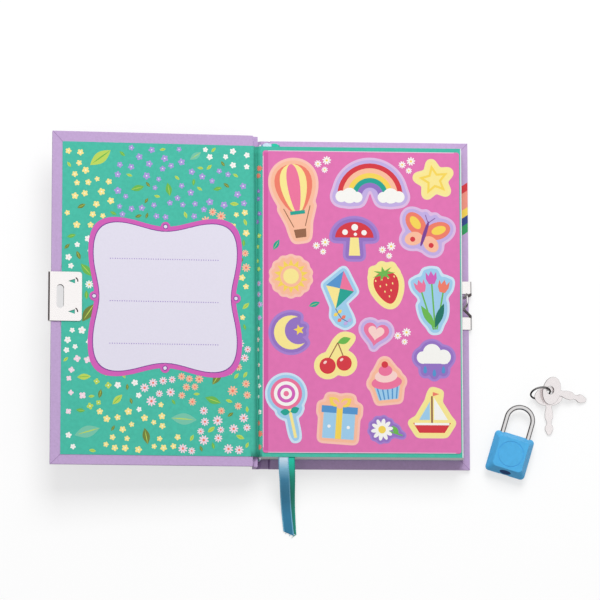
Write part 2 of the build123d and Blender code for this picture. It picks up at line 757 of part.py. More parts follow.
def all_nodes():
    """Every piece of the diary, by name."""
    nodes = {}
    nodes.update(case_nodes())
    nodes.update(block_nodes())
    nodes.update(ribbon_nodes())
    nodes.update(lock_nodes())
    nodes.update(key_nodes())
    return nodes


for node, solid in all_nodes().items():
    export_step(solid, f"parts/{node}.step")
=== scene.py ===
import json
import math
import random

import bpy
from mathutils import Matrix, Vector


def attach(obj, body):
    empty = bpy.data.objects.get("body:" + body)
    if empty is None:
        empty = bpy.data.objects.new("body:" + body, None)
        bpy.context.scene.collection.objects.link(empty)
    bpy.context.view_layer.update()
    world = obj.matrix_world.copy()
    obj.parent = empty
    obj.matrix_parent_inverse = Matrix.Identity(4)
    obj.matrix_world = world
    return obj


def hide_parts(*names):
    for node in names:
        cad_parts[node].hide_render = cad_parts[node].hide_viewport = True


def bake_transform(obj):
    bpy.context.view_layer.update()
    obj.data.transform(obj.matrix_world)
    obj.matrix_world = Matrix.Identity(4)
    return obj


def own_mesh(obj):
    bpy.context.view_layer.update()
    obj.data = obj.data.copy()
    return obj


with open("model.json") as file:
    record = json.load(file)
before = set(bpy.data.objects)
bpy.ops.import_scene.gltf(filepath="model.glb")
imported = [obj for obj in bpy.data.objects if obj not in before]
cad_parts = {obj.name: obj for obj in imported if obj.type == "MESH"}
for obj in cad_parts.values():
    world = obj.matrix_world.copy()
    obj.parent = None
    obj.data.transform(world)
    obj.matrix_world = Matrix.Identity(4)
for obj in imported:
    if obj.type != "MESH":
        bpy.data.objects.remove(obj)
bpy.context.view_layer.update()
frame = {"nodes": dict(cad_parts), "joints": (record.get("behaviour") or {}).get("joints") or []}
nodes = frame["nodes"]
joints = {joint["name"]: joint for joint in frame["joints"]}

MM = 0.001

# Camera, as the photograph was taken
CAMERA_ELEVATION = 80.99
CAMERA_AZIMUTH = -28.27
CAMERA_ROLL = 28.48
CAMERA_DISTANCE = 2.0
CAMERA_LENS = 210.68
CAMERA_TARGET = (-0.03949, 0.00287, 0.0)
CAMERA_CLIP = 20

# Light and floor
AMBIENT_STRENGTH = 0.45
KEY_POWER = 16.5
KEY_SIZE = 0.9
KEY_PLACE = (0.05, 0.9, 1.25)
HORIZON_GLOSS = 0.03
HORIZON_RISE = (0.05, 0.5)
FLOOR_SIZE = 4.0
FLOOR_DROP = 0.00005
FLOOR_ALBEDO = 0.4
FLOOR_GLOW = 0.63

# Places in the book, in millimetres
HINGE_X = -62.2
HINGE_Z = 19.8
PAGE_HEAD = 88.0
PAGE_TAIL = -88.6
BLOCK_TOP = 18.5
SHEET_TOP = 19.2
CLOSED_FACE = 20.0
FORE_EDGE = 56.8
HALF_HEIGHT = 94.0
BACK_LIP = 2.8

# Points on a smooth line for each of its control points
CURVE_STEPS = 24

# Ribbons: the route of each free tail, and the loop over the head
RIBBON_WIDTH = 6.0
RIBBON_THICK = 0.2
RIBBON_SHARES = (-1.0, -0.8, -0.45, 0.0, 0.45, 0.8, 1.0)
SELVEDGE_SHARE = 0.8
PICOT_PITCH = 1.1
PICOT_REACH = 0.3
END_SLANT = 1.6
END_RUN = 8.0
HEAD_LOOP_RADIUS = 2.6
HUMP_DROP = 1.3
FRAYS = {"blue": [(0.2, -0.5, -1.1), (-0.5, -0.7, -0.9)], "green": [(0.75, -2.5, -2.3)]}
FRAY_WIDTH = 0.9
LOOP_STATIONS = 12
RUN_STATIONS = 60
TAIL_FIRST_RUN = 4.5
TAIL_REACH = 41.0
TAIL_ROUTE = [
    (0.0, 0.0),
    (4.5, 0.0),
    (10.0, 0.13),
    (15.5, 0.4),
    (21.0, 0.7),
    (27.0, 0.91),
    (34.0, 0.985),
    (41.0, 1.0),
]
RIBBONS = {
    "blue": {"head": 2.8, "tail": 12.0, "level": 18.38, "drift": 4.1, "lead": 0.8, "rest": 0.62},
    "green": {"head": 7.0, "tail": 15.5, "level": 18.16, "drift": 1.9, "lead": 0.0, "rest": 0.3},
}

# Endpaper fold in the gutter and the bending paper outside the joint, as lines in XZ
GUTTER_HEAD = [
    (-62.0, 18.74),
    (-63.4, 18.72),
    (-64.6, 18.1),
    (-65.5, 17.2),
    (-66.2, 17.4),
    (-66.9, 19.2),
    (-67.6, 19.95),
    (-68.7, 20.12),
]
GUTTER_TAIL = [
    (-62.0, 18.74),
    (-63.1, 18.74),
    (-63.9, 18.3),
    (-64.1, 17.2),
    (-64.8, 17.3),
    (-65.9, 19.1),
    (-67.0, 19.95),
    (-68.7, 20.12),
]
FOLD_WIDTH = 9.0
FOLD_FLOWER_STEP = 6.6
FOLD_SEED = 4
FOLD_REACH = (1.5, 3.2)
FOLD_JITTER = 1.5
FOLD_SIZES = (1.2, 1.5)
FOLD_BUNCH = 4
FOLD_DAISIES = 3
FOLD_INKS = ["coral", "white", "blush", "lilac", "lime", "violet"]
FOLD_LIFT = 0.16
JOINT_LINE = [(-66.68, 15.3), (-66.72, 16.3), (-67.25, 16.72), (-68.1, 16.8), (-69.2, 16.92)]
SHEET_ROWS = 40
PAPER_THICK = 0.2

# Printing: how far each layer of ink lies over the one under it, and the gloss of paper and ink
LAYER = 0.02
PAPER_GLOSS = 0.2
PLASTIC_GLOSS = 0.3
LEVEL_FACE = 0.9

# Printed area inside the front cover, from the hinge line
PRINT_LEFT = -113.0
PRINT_RIGHT = -6.2
LABEL_CENTRE = (-55.0, 0.5)
LABEL_HALF = (44.0, 46.5)
LABEL_DIPS = (4.0, 6.4)
LABEL_DIP_RUNS = (17.0, 22.0)
LABEL_STEPS = 216
LABEL_POWER = 6
LABEL_BAND = 2.5
LABEL_LINE = 0.45
KNOB_OUTER = 2.7
KNOB_INNER = 1.0
LABEL_ROOM = 0.96
ROOM_POWER = 4
CLASP_LEFT = -100.5
CLASP_HALF = 15.5
SCATTER_TRIES = 6000
SCATTER_SEED = 11
PATCH_COUNT = 32
PATCH_KINDS = [
    ("flower", "white"),
    ("flower", "cream"),
    ("cross", "lime"),
    ("daisy", "white"),
    ("flower", "lavender"),
    ("cross", "pale_pink"),
    ("flower", "cream"),
    ("daisy", "pale_pink"),
    ("flower", "white"),
    ("daisy", "peach"),
]
FLOWER_SIZES = (1.5, 2.2)
LEAF_SIZES = (1.4, 1.6, 2.0)
LEAF_SHARE = 0.2
LEAF_INKS = ["leaf", "lime", "lime", "olive"]
FLOWER_ROOM = 1.4
FLOWER_DIP = 0.38
FLOWER_HEART = 0.2
DAISY_PETALS = 9
DAISY_REACH = 1.35
DAISY_DIP = 0.55
DAISY_HEART = 0.34
BLADE = (2.6, 1.15)
VEIN = (2.3, 0.12)
BIG_LEAF_TRIES = 40
BIG_LEAF_COUNT = 13
BIG_LEAF_SIZES = (3.0, 3.6, 4.6, 5.6)
BIG_LEAF_INKS = ["sage", "leaf", "dark_leaf", "lime", "olive"]
DOT_RADIUS = 0.3
DOT_PITCH = 1.35
DOT_REACH = 31.0
DOT_LINES = (21.5, -2.5, -26.5)

# Sticker sheet
SHEET_CENTRE = (-6.0, -0.3)
SHEET_HALF = (56.0, 86.0)
EDGE_LINE = 0.4
HALO_WIDE = 3.6
HALO_NARROW = 2.1
HALO_STEPS = 132
HALO_SWEEPS = 3
ARC_STEPS = 20
MOON_STEPS = 22
HEART_STEPS = 32
EGG_STEPS = 28
POINT_SPACING = 0.8
INK_SHARE = 0.8
STICKER_STEP = 0.25
# Darker pink band along the sheet's left margin
DARK_MARGIN_LEFT = 0.7
DARK_MARGIN_RIGHT = 3.1
DARK_MARGIN_ENDS = 1.2
EDGE_ENDS = 3.0
EDGE_LAYER = 0.6

# Striped print on the back cover's fore-edge turn-in
STRIPE_LEFT = 51.3
STRIPE_RIGHT = 56.7
STRIPE_MIDDLE = 55.0
STRIPE_SLOPE = 0.67
STRIPES = [
    ("red", 65.7, 70.3),
    ("salmon", 56.0, 65.7),
    ("yellow", 51.4, 56.0),
    ("navy", 46.8, 51.4),
    ("green", 41.6, 46.8),
]
STRIPE_LOW = 0.35
STRIPE_HIGH = 2.5

# Lines where the covering paper is mitred at the corners
COVER_REACH = 118.8
TURN_IN_DROP = -0.23
MITRE_WIDTH = 0.22
PASTE_REACH = 113.3
BACK_PASTE_MARGIN = 5.5

# Padlock: its place, and painted shade for the keyhole's mouth on the slope of its lower end
LOCK_CENTRE = (79.2, -85.56)
LOCK_TURN = 16.7
LOCK_HALF_HEIGHT = 11.75
LOCK_HALF_THICK = 5.25
LOCK_BEVEL_SIDE = 3.0
LOCK_BEVEL_DEEP = 4.6
MOUTH_REACH = (3.3, 1.7)
MOUTH_RISE = 2.3

# Front clasp: painted shade on the rim of the pressed hollow beside each prong, and a painted dark reflection
# along its bend
DIMPLE_X = -106.4
DIMPLE_PITCH = 17.2
DIMPLE_OUTER = 2.5
DIMPLE_INNER = 1.8
DIMPLE_SPAN = (-8, 64)
PAINTED_BEND_REFLECTION = (0.2, 0.8)
BEND_HALF = 13.6

# The flyleaf's fore edge, cut beyond the print
LEAF_EDGE = 51.1
LEAF_TOP = 18.85
RAW_WIDTH = 0.45

# Loose stars and dots printed on the outside of the front cover, from the hinge line
STAR_SEED = 7
STAR_TRIES = 1500
STAR_ACROSS = (13.0, 112.0)
STAR_ALONG = 88.0
STAR_SIZES = (1.6, 4.2)
STAR_ROOM = 2.2
STAR_WAIST = 0.45
STAR_DOT = 0.4
STAR_CYCLE = 3
STAR_INKS = ["white", "cream", "pale_violet", "pale_pink", "deep_violet", "mint", "peach"]
STAR_CLASP = (92.0, 22.0)

# End bands on the page block's spine
BAND_X = -63.3
BAND_RADIUS = 0.75
BAND_LOW = 4.7
BAND_HIGH = 17.3
BAND_DIP = 0.16
BAND_STITCHES = 14
BAND_ROWS = 6
BAND_SIDES = 12
TAB_X = -63.95
TAB_REACH = 4.0
TAB_STEPS = 8
TAB_WEAVE = 0.06
TAB_OUTSIDE = 0.1
TAB_INSIDE = 0.2
END_BANDS = [
    ("band_head", "headband_top", PAGE_HEAD, 1),
    ("band_tail", "headband_bottom", PAGE_TAIL, -1),
]

# Small rounding of hard edges: each piece, the width in millimetres and the steps
EDGE_ROUNDS = [
    ("lock_jacket_front", 0.35, 3),
    ("lock_jacket_back", 0.35, 3),
    ("front_clasp", 0.27, 3),
    ("back_clasp", 0.27, 3),
    ("key_1", 0.2, 2),
    ("key_2", 0.2, 2),
    ("front_wrap", 0.1, 2),
    ("back_wrap", 0.1, 2),
]
ROUND_ANGLE = 32
WELD_GAP = 0.000002

# How far along a noise a colour goes over from dark to light
NOISE_SPAN = (0.3, 0.7)


def linear(value):
    """One colour channel from 0 to 255 as a linear share."""
    share = value / 255
    if share <= 0.04045:
        return share / 12.92
    return ((share + 0.055) / 1.055) ** 2.4


def colour(red, green, blue):
    """A colour written in screen values."""
    return (linear(red), linear(green), linear(blue), 1.0)


def shaded(tint, share):
    """A darker or lighter version of a colour."""
    return (tint[0] * share, tint[1] * share, tint[2] * share, 1.0)


def new_material(name, tint, roughness, metallic=0.0):
    """A material with its even values set on the shader."""
    material = bpy.data.materials.new(name)
    material.use_nodes = True
    shader = material.node_tree.nodes["Principled BSDF"]
    shader.inputs["Base Color"].default_value = tint
    shader.inputs["Roughness"].default_value = roughness
    shader.inputs["Metallic"].default_value = metallic
    return material


def add_noise(material, scale, detail, stretch):
    """A noise texture in the part's own metres."""
    tree = material.node_tree
    place = tree.nodes.new("ShaderNodeTexCoord")
    mapping = tree.nodes.new("ShaderNodeMapping")
    mapping.inputs["Scale"].default_value = stretch
    texture = tree.nodes.new("ShaderNodeTexNoise")
    texture.inputs["Scale"].default_value = scale
    texture.inputs["Detail"].default_value = detail
    tree.links.new(place.outputs["Object"], mapping.inputs["Vector"])
    tree.links.new(mapping.outputs["Vector"], texture.inputs["Vector"])
    return texture


def vary_colour(material, texture, dark, light):
    """Colour that wanders between two tints with a texture."""
    tree = material.node_tree
    ramp = colour_ramp(tree, zip(NOISE_SPAN, (dark, light)))
    tree.links.new(texture.outputs[0], ramp.inputs["Fac"])
    shader = tree.nodes["Principled BSDF"]
    tree.links.new(ramp.outputs["Color"], shader.inputs["Base Color"])


def add_bump(material, texture, strength, distance):
    """Surface relief from a texture."""
    tree = material.node_tree
    bump = tree.nodes.new("ShaderNodeBump")
    bump.inputs["Strength"].default_value = strength
    bump.inputs["Distance"].default_value = distance
    tree.links.new(texture.outputs[0], bump.inputs["Height"])
    shader = tree.nodes["Principled BSDF"]
    tree.links.new(bump.outputs["Normal"], shader.inputs["Normal"])


def paper(name, tint, roughness, fibre, relief, spread=0.06):
    """Paper with fibres in its colour and surface."""
    material = new_material(name, tint, roughness)
    material.node_tree.nodes["Principled BSDF"].inputs["Specular IOR Level"].default_value = PAPER_GLOSS
    texture = add_noise(material, fibre, 6.0, (1, 1, 1))
    vary_colour(material, texture, shaded(tint, 1 - spread), shaded(tint, 1 + spread))
    add_bump(material, texture, relief, 0.0003)
    return material


def page_edges():
    """Stacked page edges: fine level lines of light and shade."""
    tint = colour(247, 246, 243)
    material = new_material("page_edges", tint, 0.85)
    lines = add_noise(material, 1.0, 3.0, (30, 30, 9000))
    vary_colour(material, lines, shaded(tint, 0.82), shaded(tint, 1.03))
    add_bump(material, lines, 0.35, 0.0002)
    return material


def colour_ramp(tree, stops):
    """A ramp through the given stops, of which the first two are its ends."""
    ramp = tree.nodes.new("ShaderNodeValToRGB")
    for number, (share, tint) in enumerate(stops):
        if number < 2:
            stop = ramp.color_ramp.elements[number]
        else:
            stop = ramp.color_ramp.elements.new(share)
        stop.position = share
        stop.color = tint
    return ramp


def multiply_colour(material, ramp):
    """The colour a material has so far, multiplied by a ramp's."""
    tree = material.node_tree
    shader = tree.nodes["Principled BSDF"]
    fine = shader.inputs["Base Color"].links[0].from_socket
    both = tree.nodes.new("ShaderNodeMix")
    both.data_type = "RGBA"
    both.blend_type = "MULTIPLY"
    both.inputs["Factor"].default_value = 1.0
    tree.links.new(fine, both.inputs["A"])
    tree.links.new(ramp.outputs["Color"], both.inputs["B"])
    tree.links.new(both.outputs["Result"], shader.inputs["Base Color"])


def paint_bend_reflection(material):
    """Painted reflection: darker colour where a piece's own surface bends away from its level faces."""
    tree = material.node_tree
    place = tree.nodes.new("ShaderNodeTexCoord")
    split = tree.nodes.new("ShaderNodeSeparateXYZ")
    level = tree.nodes.new("ShaderNodeMath")
    level.operation = "ABSOLUTE"
    ramp = colour_ramp(tree, METAL_PAINTED_REFLECTION)
    tree.links.new(place.outputs["Normal"], split.inputs["Vector"])
    tree.links.new(split.outputs["Z"], level.inputs[0])
    tree.links.new(level.outputs[0], ramp.inputs["Fac"])
    multiply_colour(material, ramp)


def paint_light_along(material, axis, start, stop, stops):
    """Painted light and shade: colour multiplied by a ramp along one axis of the piece, between two places in
    millimetres.
    """
    tree = material.node_tree
    place = tree.nodes.new("ShaderNodeTexCoord")
    split = tree.nodes.new("ShaderNodeSeparateXYZ")
    fall = tree.nodes.new("ShaderNodeMapRange")
    fall.inputs["From Min"].default_value = start * MM
    fall.inputs["From Max"].default_value = stop * MM
    ramp = colour_ramp(tree, stops)
    tree.links.new(place.outputs["Object"], split.inputs["Vector"])
    tree.links.new(split.outputs[axis], fall.inputs["Value"])
    tree.links.new(fall.outputs["Result"], ramp.inputs["Fac"])
    multiply_colour(material, ramp)


def metal(name, tint, roughness, scratch, stretch):
    """Bright metal with fine marks, and a painted dark reflection at its bends."""
    material = new_material(name, tint, roughness, 1.0)
    texture = add_noise(material, scratch, 5.0, stretch)
    vary_colour(material, texture, shaded(tint, 0.96), tint)
    add_bump(material, texture, 0.06, 0.0001)
    # painted dark reflection at the bends
    paint_bend_reflection(material)
    return material


def satin(name, stops):
    """Satin ribbon: fine cross threads, with a painted sheen where it bends over the pages and painted shade
    deeper below.
    """
    material = new_material(name, stops[-1][1], 0.4)
    threads = add_noise(material, 1.0, 2.0, (400, 5200, 5200))
    vary_colour(material, threads, (0.86, 0.86, 0.86, 1), (1, 1, 1, 1))
    add_bump(material, threads, 0.2, 0.0002)
    # painted sheen and shade along the tail
    paint_light_along(material, "Y", PAGE_TAIL, PAGE_TAIL - TAIL_REACH, stops)
    return material


def moulded(name, tint):
    """Smooth moulded plastic with a faint uneven gloss."""
    material = new_material(name, tint, 0.34)
    texture = add_noise(material, 420.0, 3.0, (1, 1, 1))
    vary_colour(material, texture, shaded(tint, 0.95), shaded(tint, 1.04))
    add_bump(material, texture, 0.05, 0.0002)
    shader = material.node_tree.nodes["Principled BSDF"]
    shader.inputs["Specular IOR Level"].default_value = PLASTIC_GLOSS
    return material


# Painted reflection: how bright metal darkens from its level faces, over its bends, to its upright sides
METAL_PAINTED_REFLECTION = [
    (0.0, colour(150, 142, 142)),
    (0.97, colour(255, 255, 255)),
    (0.3, colour(52, 40, 42)),
    (0.6, colour(52, 40, 42)),
]

# Painted shade: how the endpaper darkens from the cover into the valley of the fold
FOLD_PAINTED_SHADE = [
    (0.05, colour(255, 255, 255)),
    (1.0, colour(255, 255, 255)),
    (0.45, colour(214, 224, 221)),
    (0.75, colour(232, 239, 237)),
]

INKS = {
    "white": (248, 247, 243),
    "cream": (250, 232, 150),
    "yellow": (246, 214, 92),
    "lime": (190, 216, 96),
    "leaf": (110, 184, 84),
    "dark_leaf": (40, 116, 100),
    "sage": (122, 198, 172),
    "pale_pink": (246, 218, 230),
    "olive": (116, 132, 64),
    "lavender": (172, 156, 220),
    "lilac": (196, 176, 228),
    "violet": (150, 118, 196),
    "sky": (160, 206, 236),
    "blue": (88, 150, 206),
    "navy": (58, 76, 140),
    "mint": (150, 216, 196),
    "blush": (250, 212, 206),
    "peach": (250, 190, 160),
    "coral": (240, 128, 108),
    "red": (214, 62, 72),
    "rose": (238, 120, 160),
    "magenta": (212, 100, 186),
    "purple": (124, 70, 150),
    "brown": (150, 104, 78),
    "label": (229, 225, 240),
    "green": (60, 160, 100),
    "salmon": (242, 152, 136),
    "teal": (44, 164, 148),
    "pale_yellow": (247, 233, 158),
    "pale_blue": (206, 228, 245),
    "pale_violet": (222, 190, 228),
    "pale_peach": (251, 198, 182),
    "deep_violet": (168, 132, 208),
    "thread": (92, 196, 206),
    "crease": (150, 122, 168),
    "stub": (212, 96, 164),
    "deep_blue": (22, 62, 116),
    # painted shade and dark reflection on the front clasp
    "dimple": (62, 50, 52),
    "raw_edge": (226, 240, 240),
    "sheet_edge": (238, 208, 228),
}
inks = {name: paper(f"ink_{name}", colour(*tint), 0.55, 900.0, 0.05, 0.012) for name, tint in INKS.items()}
LAVENDER = colour(196, 168, 212)
TEAL = colour(76, 190, 168)
PINK = colour(226, 118, 180)

cover_paper = paper("cover_paper", LAVENDER, 0.62, 900.0, 0.3, 0.05)
board_paper = paper("grey_board", colour(150, 146, 140), 0.9, 700.0, 0.4, 0.12)
end_paper = paper("end_paper", TEAL, 0.6, 500.0, 0.12, 0.05)
fold_paper_painted_shade = paper("fold_paper_painted_shade", TEAL, 0.6, 500.0, 0.12, 0.05)
# painted shade in the gutter's valley
paint_light_along(fold_paper_painted_shade, "X", GUTTER_HEAD[-1][0], GUTTER_HEAD[0][0], FOLD_PAINTED_SHADE)
sticker_paper = paper("sticker_paper", PINK, 0.42, 300.0, 0.06, 0.03)
lining_cloth = paper("lining_cloth", colour(225, 220, 210), 0.9, 2600.0, 0.6, 0.15)
band_cloth = paper("band_cloth", colour(236, 230, 238), 0.8, 2200.0, 0.6, 0.1)
pages = page_edges()
page_paper = paper("page_paper", colour(246, 244, 239), 0.75, 900.0, 0.2, 0.02)
nickel = metal("nickel", colour(252, 248, 247), 0.2, 500.0, (1, 6, 1))
steel = metal("steel", colour(225, 223, 223), 0.22, 700.0, (1, 1, 1))
key_nickel = metal("key_nickel", colour(242, 236, 236), 0.24, 600.0, (1, 1, 1))
ring_steel = metal("ring_steel", colour(150, 146, 146), 0.2, 900.0, (1, 1, 1))
# Painted sheen and shade on the ribbons: pale at the page edge, deeper down each tail
BLUE_PAINTED_SHEEN = [
    (0.03, colour(206, 228, 246)),
    (1.0, colour(36, 120, 158)),
    (0.16, colour(132, 190, 220)),
    (0.3, colour(74, 156, 196)),
    (0.6, colour(45, 130, 168)),
]
GREEN_PAINTED_SHEEN = [
    (0.03, colour(0, 200, 168)),
    (1.0, colour(0, 122, 104)),
    (0.25, colour(0, 172, 146)),
    (0.55, colour(0, 136, 114)),
]
blue_satin = satin("blue_satin", BLUE_PAINTED_SHEEN)
green_satin = satin("green_satin", GREEN_PAINTED_SHEEN)
blue_selvedge = paper("blue_selvedge", colour(120, 184, 214), 0.6, 3000.0, 0.4, 0.2)
green_selvedge = paper("green_selvedge", colour(30, 156, 136), 0.6, 3000.0, 0.4, 0.2)
lock_blue = moulded("lock_blue", colour(82, 179, 235))

FINISH = {
    cover_paper: ["front_wrap", "back_wrap", "spine_wrap", "back_joint", "spine_board"],
    board_paper: ["front_board", "back_board"],
    end_paper: ["front_pastedown", "back_pastedown", "flyleaf", "back_flyleaf"],
    sticker_paper: ["sticker_sheet"],
    lining_cloth: ["spine_lining"],
    pages: [f"page_section_{number}" for number in range(1, 6)],
    nickel: ["front_clasp", "back_clasp"],
    steel: ["shackle", "lock_case", "latch_spring", "shackle_spring", "ward_plate"],
    key_nickel: ["key_1", "key_2"],
    ring_steel: ["key_ring"],
    lock_blue: ["lock_jacket_front", "lock_jacket_back"],
}


def finish_nodes():
    """Each carried-over piece gets its own material."""
    for material, names in FINISH.items():
        for name in names:
            slots = nodes[name].data.materials
            slots.clear()
            slots.append(material)
    for name in FINISH[pages]:
        sheet = nodes[name].data
        sheet.materials.append(page_paper)
        for face in sheet.polygons:
            face.material_index = int(abs(face.normal.z) > LEVEL_FACE)


def soften(name, width, segments):
    """Small rounded edges on a hard piece."""
    weld = nodes[name].modifiers.new("weld", "WELD")
    weld.merge_threshold = WELD_GAP
    bevel = nodes[name].modifiers.new("bevel", "BEVEL")
    bevel.width = width * MM
    bevel.segments = segments
    bevel.limit_method = "ANGLE"
    bevel.angle_limit = math.radians(ROUND_ANGLE)
    bevel.harden_normals = True


def mesh_object(name, points, faces, materials):
    """A new piece from points in millimetres."""
    mesh = bpy.data.meshes.new(name)
    mesh.from_pydata([Vector(point) * MM for point in points], [], faces)
    piece = bpy.data.objects.new(name, mesh)
    bpy.context.scene.collection.objects.link(piece)
    for material in materials:
        mesh.materials.append(material)
    return piece


def smooth(piece):
    """Smooth shading all over a piece."""
    for face in piece.data.polygons:
        face.use_smooth = True


def thicken(piece, thickness, offset):
    """A thin piece's thickness in millimetres, about its faces or to one side."""
    body = piece.modifiers.new("thickness", "SOLIDIFY")
    body.thickness = thickness * MM
    body.offset = offset


def paint_faces(piece, picks):
    """One of a piece's materials for each of its faces."""
    for face, pick in zip(piece.data.polygons, picks):
        face.material_index = pick


def add_camera():
    """The camera at the photograph's place."""
    elevation = math.radians(CAMERA_ELEVATION)
    azimuth = math.radians(CAMERA_AZIMUTH)
    roll = math.radians(CAMERA_ROLL)
    level = math.cos(elevation)
    forward = Vector((-math.sin(azimuth) * level, math.cos(azimuth) * level, -math.sin(elevation)))
    side = Vector((math.cos(azimuth), math.sin(azimuth), 0))
    upright = side.cross(forward)
    right = side * math.cos(roll) + upright * math.sin(roll)
    up = upright * math.cos(roll) - side * math.sin(roll)
    camera = bpy.data.objects.new("camera", bpy.data.cameras.new("camera"))
    camera.data.lens = CAMERA_LENS
    camera.data.clip_end = CAMERA_CLIP
    turn = Matrix((right, up, -forward)).transposed().to_4x4()
    camera.matrix_world = Matrix.Translation(Vector(CAMERA_TARGET) - forward * CAMERA_DISTANCE) @ turn
    bpy.context.scene.collection.objects.link(camera)
    bpy.context.scene.camera = camera


def seen_ray(tree):
    """One for camera, glossy and transmission rays, and zero for the rest."""
    path = tree.nodes.new("ShaderNodeLightPath")
    first = tree.nodes.new("ShaderNodeMath")
    first.operation = "MAXIMUM"
    second = tree.nodes.new("ShaderNodeMath")
    second.operation = "MAXIMUM"
    tree.links.new(path.outputs["Is Camera Ray"], first.inputs[0])
    tree.links.new(path.outputs["Is Glossy Ray"], first.inputs[1])
    tree.links.new(first.outputs[0], second.inputs[0])
    tree.links.new(path.outputs["Is Transmission Ray"], second.inputs[1])
    return second.outputs[0]


def add_world():
    """Even soft light, white to the eye and darker towards the horizon in reflections."""
    world = bpy.data.worlds.new("studio")
    bpy.context.scene.world = world
    world.use_nodes = True
    tree = world.node_tree
    ambient = tree.nodes["Background"]
    ambient.inputs["Color"].default_value = (1, 1, 1, 1)
    ambient.inputs["Strength"].default_value = AMBIENT_STRENGTH
    seen = tree.nodes.new("ShaderNodeBackground")
    seen.inputs["Color"].default_value = (1, 1, 1, 1)
    place = tree.nodes.new("ShaderNodeTexCoord")
    split = tree.nodes.new("ShaderNodeSeparateXYZ")
    height = tree.nodes.new("ShaderNodeMapRange")
    height.inputs["From Min"].default_value = HORIZON_RISE[0]
    height.inputs["From Max"].default_value = HORIZON_RISE[1]
    height.inputs["To Min"].default_value = HORIZON_GLOSS
    height.inputs["To Max"].default_value = 1.0
    path = tree.nodes.new("ShaderNodeLightPath")
    strength = tree.nodes.new("ShaderNodeMath")
    strength.operation = "MAXIMUM"
    mix = tree.nodes.new("ShaderNodeMixShader")
    output = tree.nodes["World Output"]
    tree.links.new(place.outputs["Generated"], split.inputs["Vector"])
    tree.links.new(split.outputs["Z"], height.inputs["Value"])
    tree.links.new(height.outputs["Result"], strength.inputs[0])
    tree.links.new(path.outputs["Is Camera Ray"], strength.inputs[1])
    tree.links.new(strength.outputs[0], seen.inputs["Strength"])
    tree.links.new(seen_ray(tree), mix.inputs["Fac"])
    tree.links.new(ambient.outputs["Background"], mix.inputs[1])
    tree.links.new(seen.outputs["Background"], mix.inputs[2])
    tree.links.new(mix.outputs["Shader"], output.inputs["Surface"])


def add_lamp():
    """One large soft lamp from beyond the head."""
    lamp = bpy.data.lights.new("key", "AREA")
    lamp.energy = KEY_POWER
    lamp.size = KEY_SIZE
    holder = bpy.data.objects.new("key", lamp)
    holder.location = KEY_PLACE
    holder.rotation_euler = (-Vector(KEY_PLACE)).to_track_quat("-Z", "Y").to_euler()
    holder.visible_glossy = False
    bpy.context.scene.collection.objects.link(holder)


def add_floor():
    """A plain pale floor that keeps the shadow."""
    half = FLOOR_SIZE / 2
    corners = [(-half, -half, 0), (half, -half, 0), (half, half, 0), (-half, half, 0)]
    mesh = bpy.data.meshes.new("floor")
    mesh.from_pydata(corners, [], [(0, 1, 2, 3)])
    floor = bpy.data.objects.new("floor", mesh)
    floor.location.z = -FLOOR_DROP
    material = bpy.data.materials.new("floor")
    material.use_nodes = True
    tree = material.node_tree
    shader = tree.nodes["Principled BSDF"]
    shader.inputs["Base Color"].default_value = (FLOOR_ALBEDO, FLOOR_ALBEDO, FLOOR_ALBEDO, 1)
    shader.inputs["Roughness"].default_value = 1.0
    shader.inputs["Specular IOR Level"].default_value = 0.0
    glow = tree.nodes.new("ShaderNodeEmission")
    lift = tree.nodes.new("ShaderNodeMath")
    lift.operation = "MULTIPLY"
    lift.inputs[1].default_value = FLOOR_GLOW
    total = tree.nodes.new("ShaderNodeAddShader")
    tree.links.new(seen_ray(tree), lift.inputs[0])
    tree.links.new(lift.outputs[0], glow.inputs["Strength"])
    tree.links.new(shader.outputs["BSDF"], total.inputs[0])
    tree.links.new(glow.outputs["Emission"], total.inputs[1])
    tree.links.new(total.outputs["Shader"], tree.nodes["Material Output"].inputs["Surface"])
    mesh.materials.append(material)
    bpy.context.scene.collection.objects.link(floor)


def spline_points(name, route):
    """Points of a smooth line whose control points are a route in millimetres."""
    line = bpy.data.curves.new(name, "CURVE")
    line.dimensions = "3D"
    line.resolution_u = CURVE_STEPS
    spline = line.splines.new("NURBS")
    spline.points.add(len(route) - 1)
    for point, spot in zip(spline.points, route):
        point.co = (*spot, 1)
    spline.order_u = 3
    spline.use_endpoint_u = True
    holder = bpy.data.objects.new(name, line)
    bpy.context.scene.collection.objects.link(holder)
    bpy.context.view_layer.update()
    mesh = bpy.data.meshes.new_from_object(holder)
    points = [vertex.co.copy() for vertex in mesh.vertices]
    bpy.data.objects.remove(holder)
    return points


def tail_route(facts):
    """Control points of one ribbon's free tail."""
    route = []
    for along, fall in TAIL_ROUTE:
        aside = facts["drift"] * max(along - TAIL_FIRST_RUN, 0) / (TAIL_REACH - TAIL_FIRST_RUN)
        out = along + facts["lead"] if along else 0
        height = facts["level"] - fall * (facts["level"] - facts["rest"])
        route.append((HINGE_X + facts["tail"] + aside, PAGE_TAIL - out, height))
    return route


def run_route(facts):
    """Points of one ribbon's loop over the head and its run down the page."""
    points = []
    head_x = HINGE_X + facts["head"]
    tail_x = HINGE_X + facts["tail"]
    centre = BLOCK_TOP - HEAD_LOOP_RADIUS
    radius = facts["level"] - centre
    for step in range(LOOP_STATIONS + 1):
        angle = math.pi * (step / LOOP_STATIONS - 0.5)
        out = PAGE_HEAD + radius * math.cos(angle)
        points.append(Vector((head_x, out, centre + radius * math.sin(angle))))
    for step in range(1, RUN_STATIONS + 1):
        share = step / RUN_STATIONS
        across = head_x + share * (tail_x - head_x)
        points.append(Vector((across, PAGE_HEAD + share * (PAGE_TAIL - PAGE_HEAD), facts["level"])))
    return points


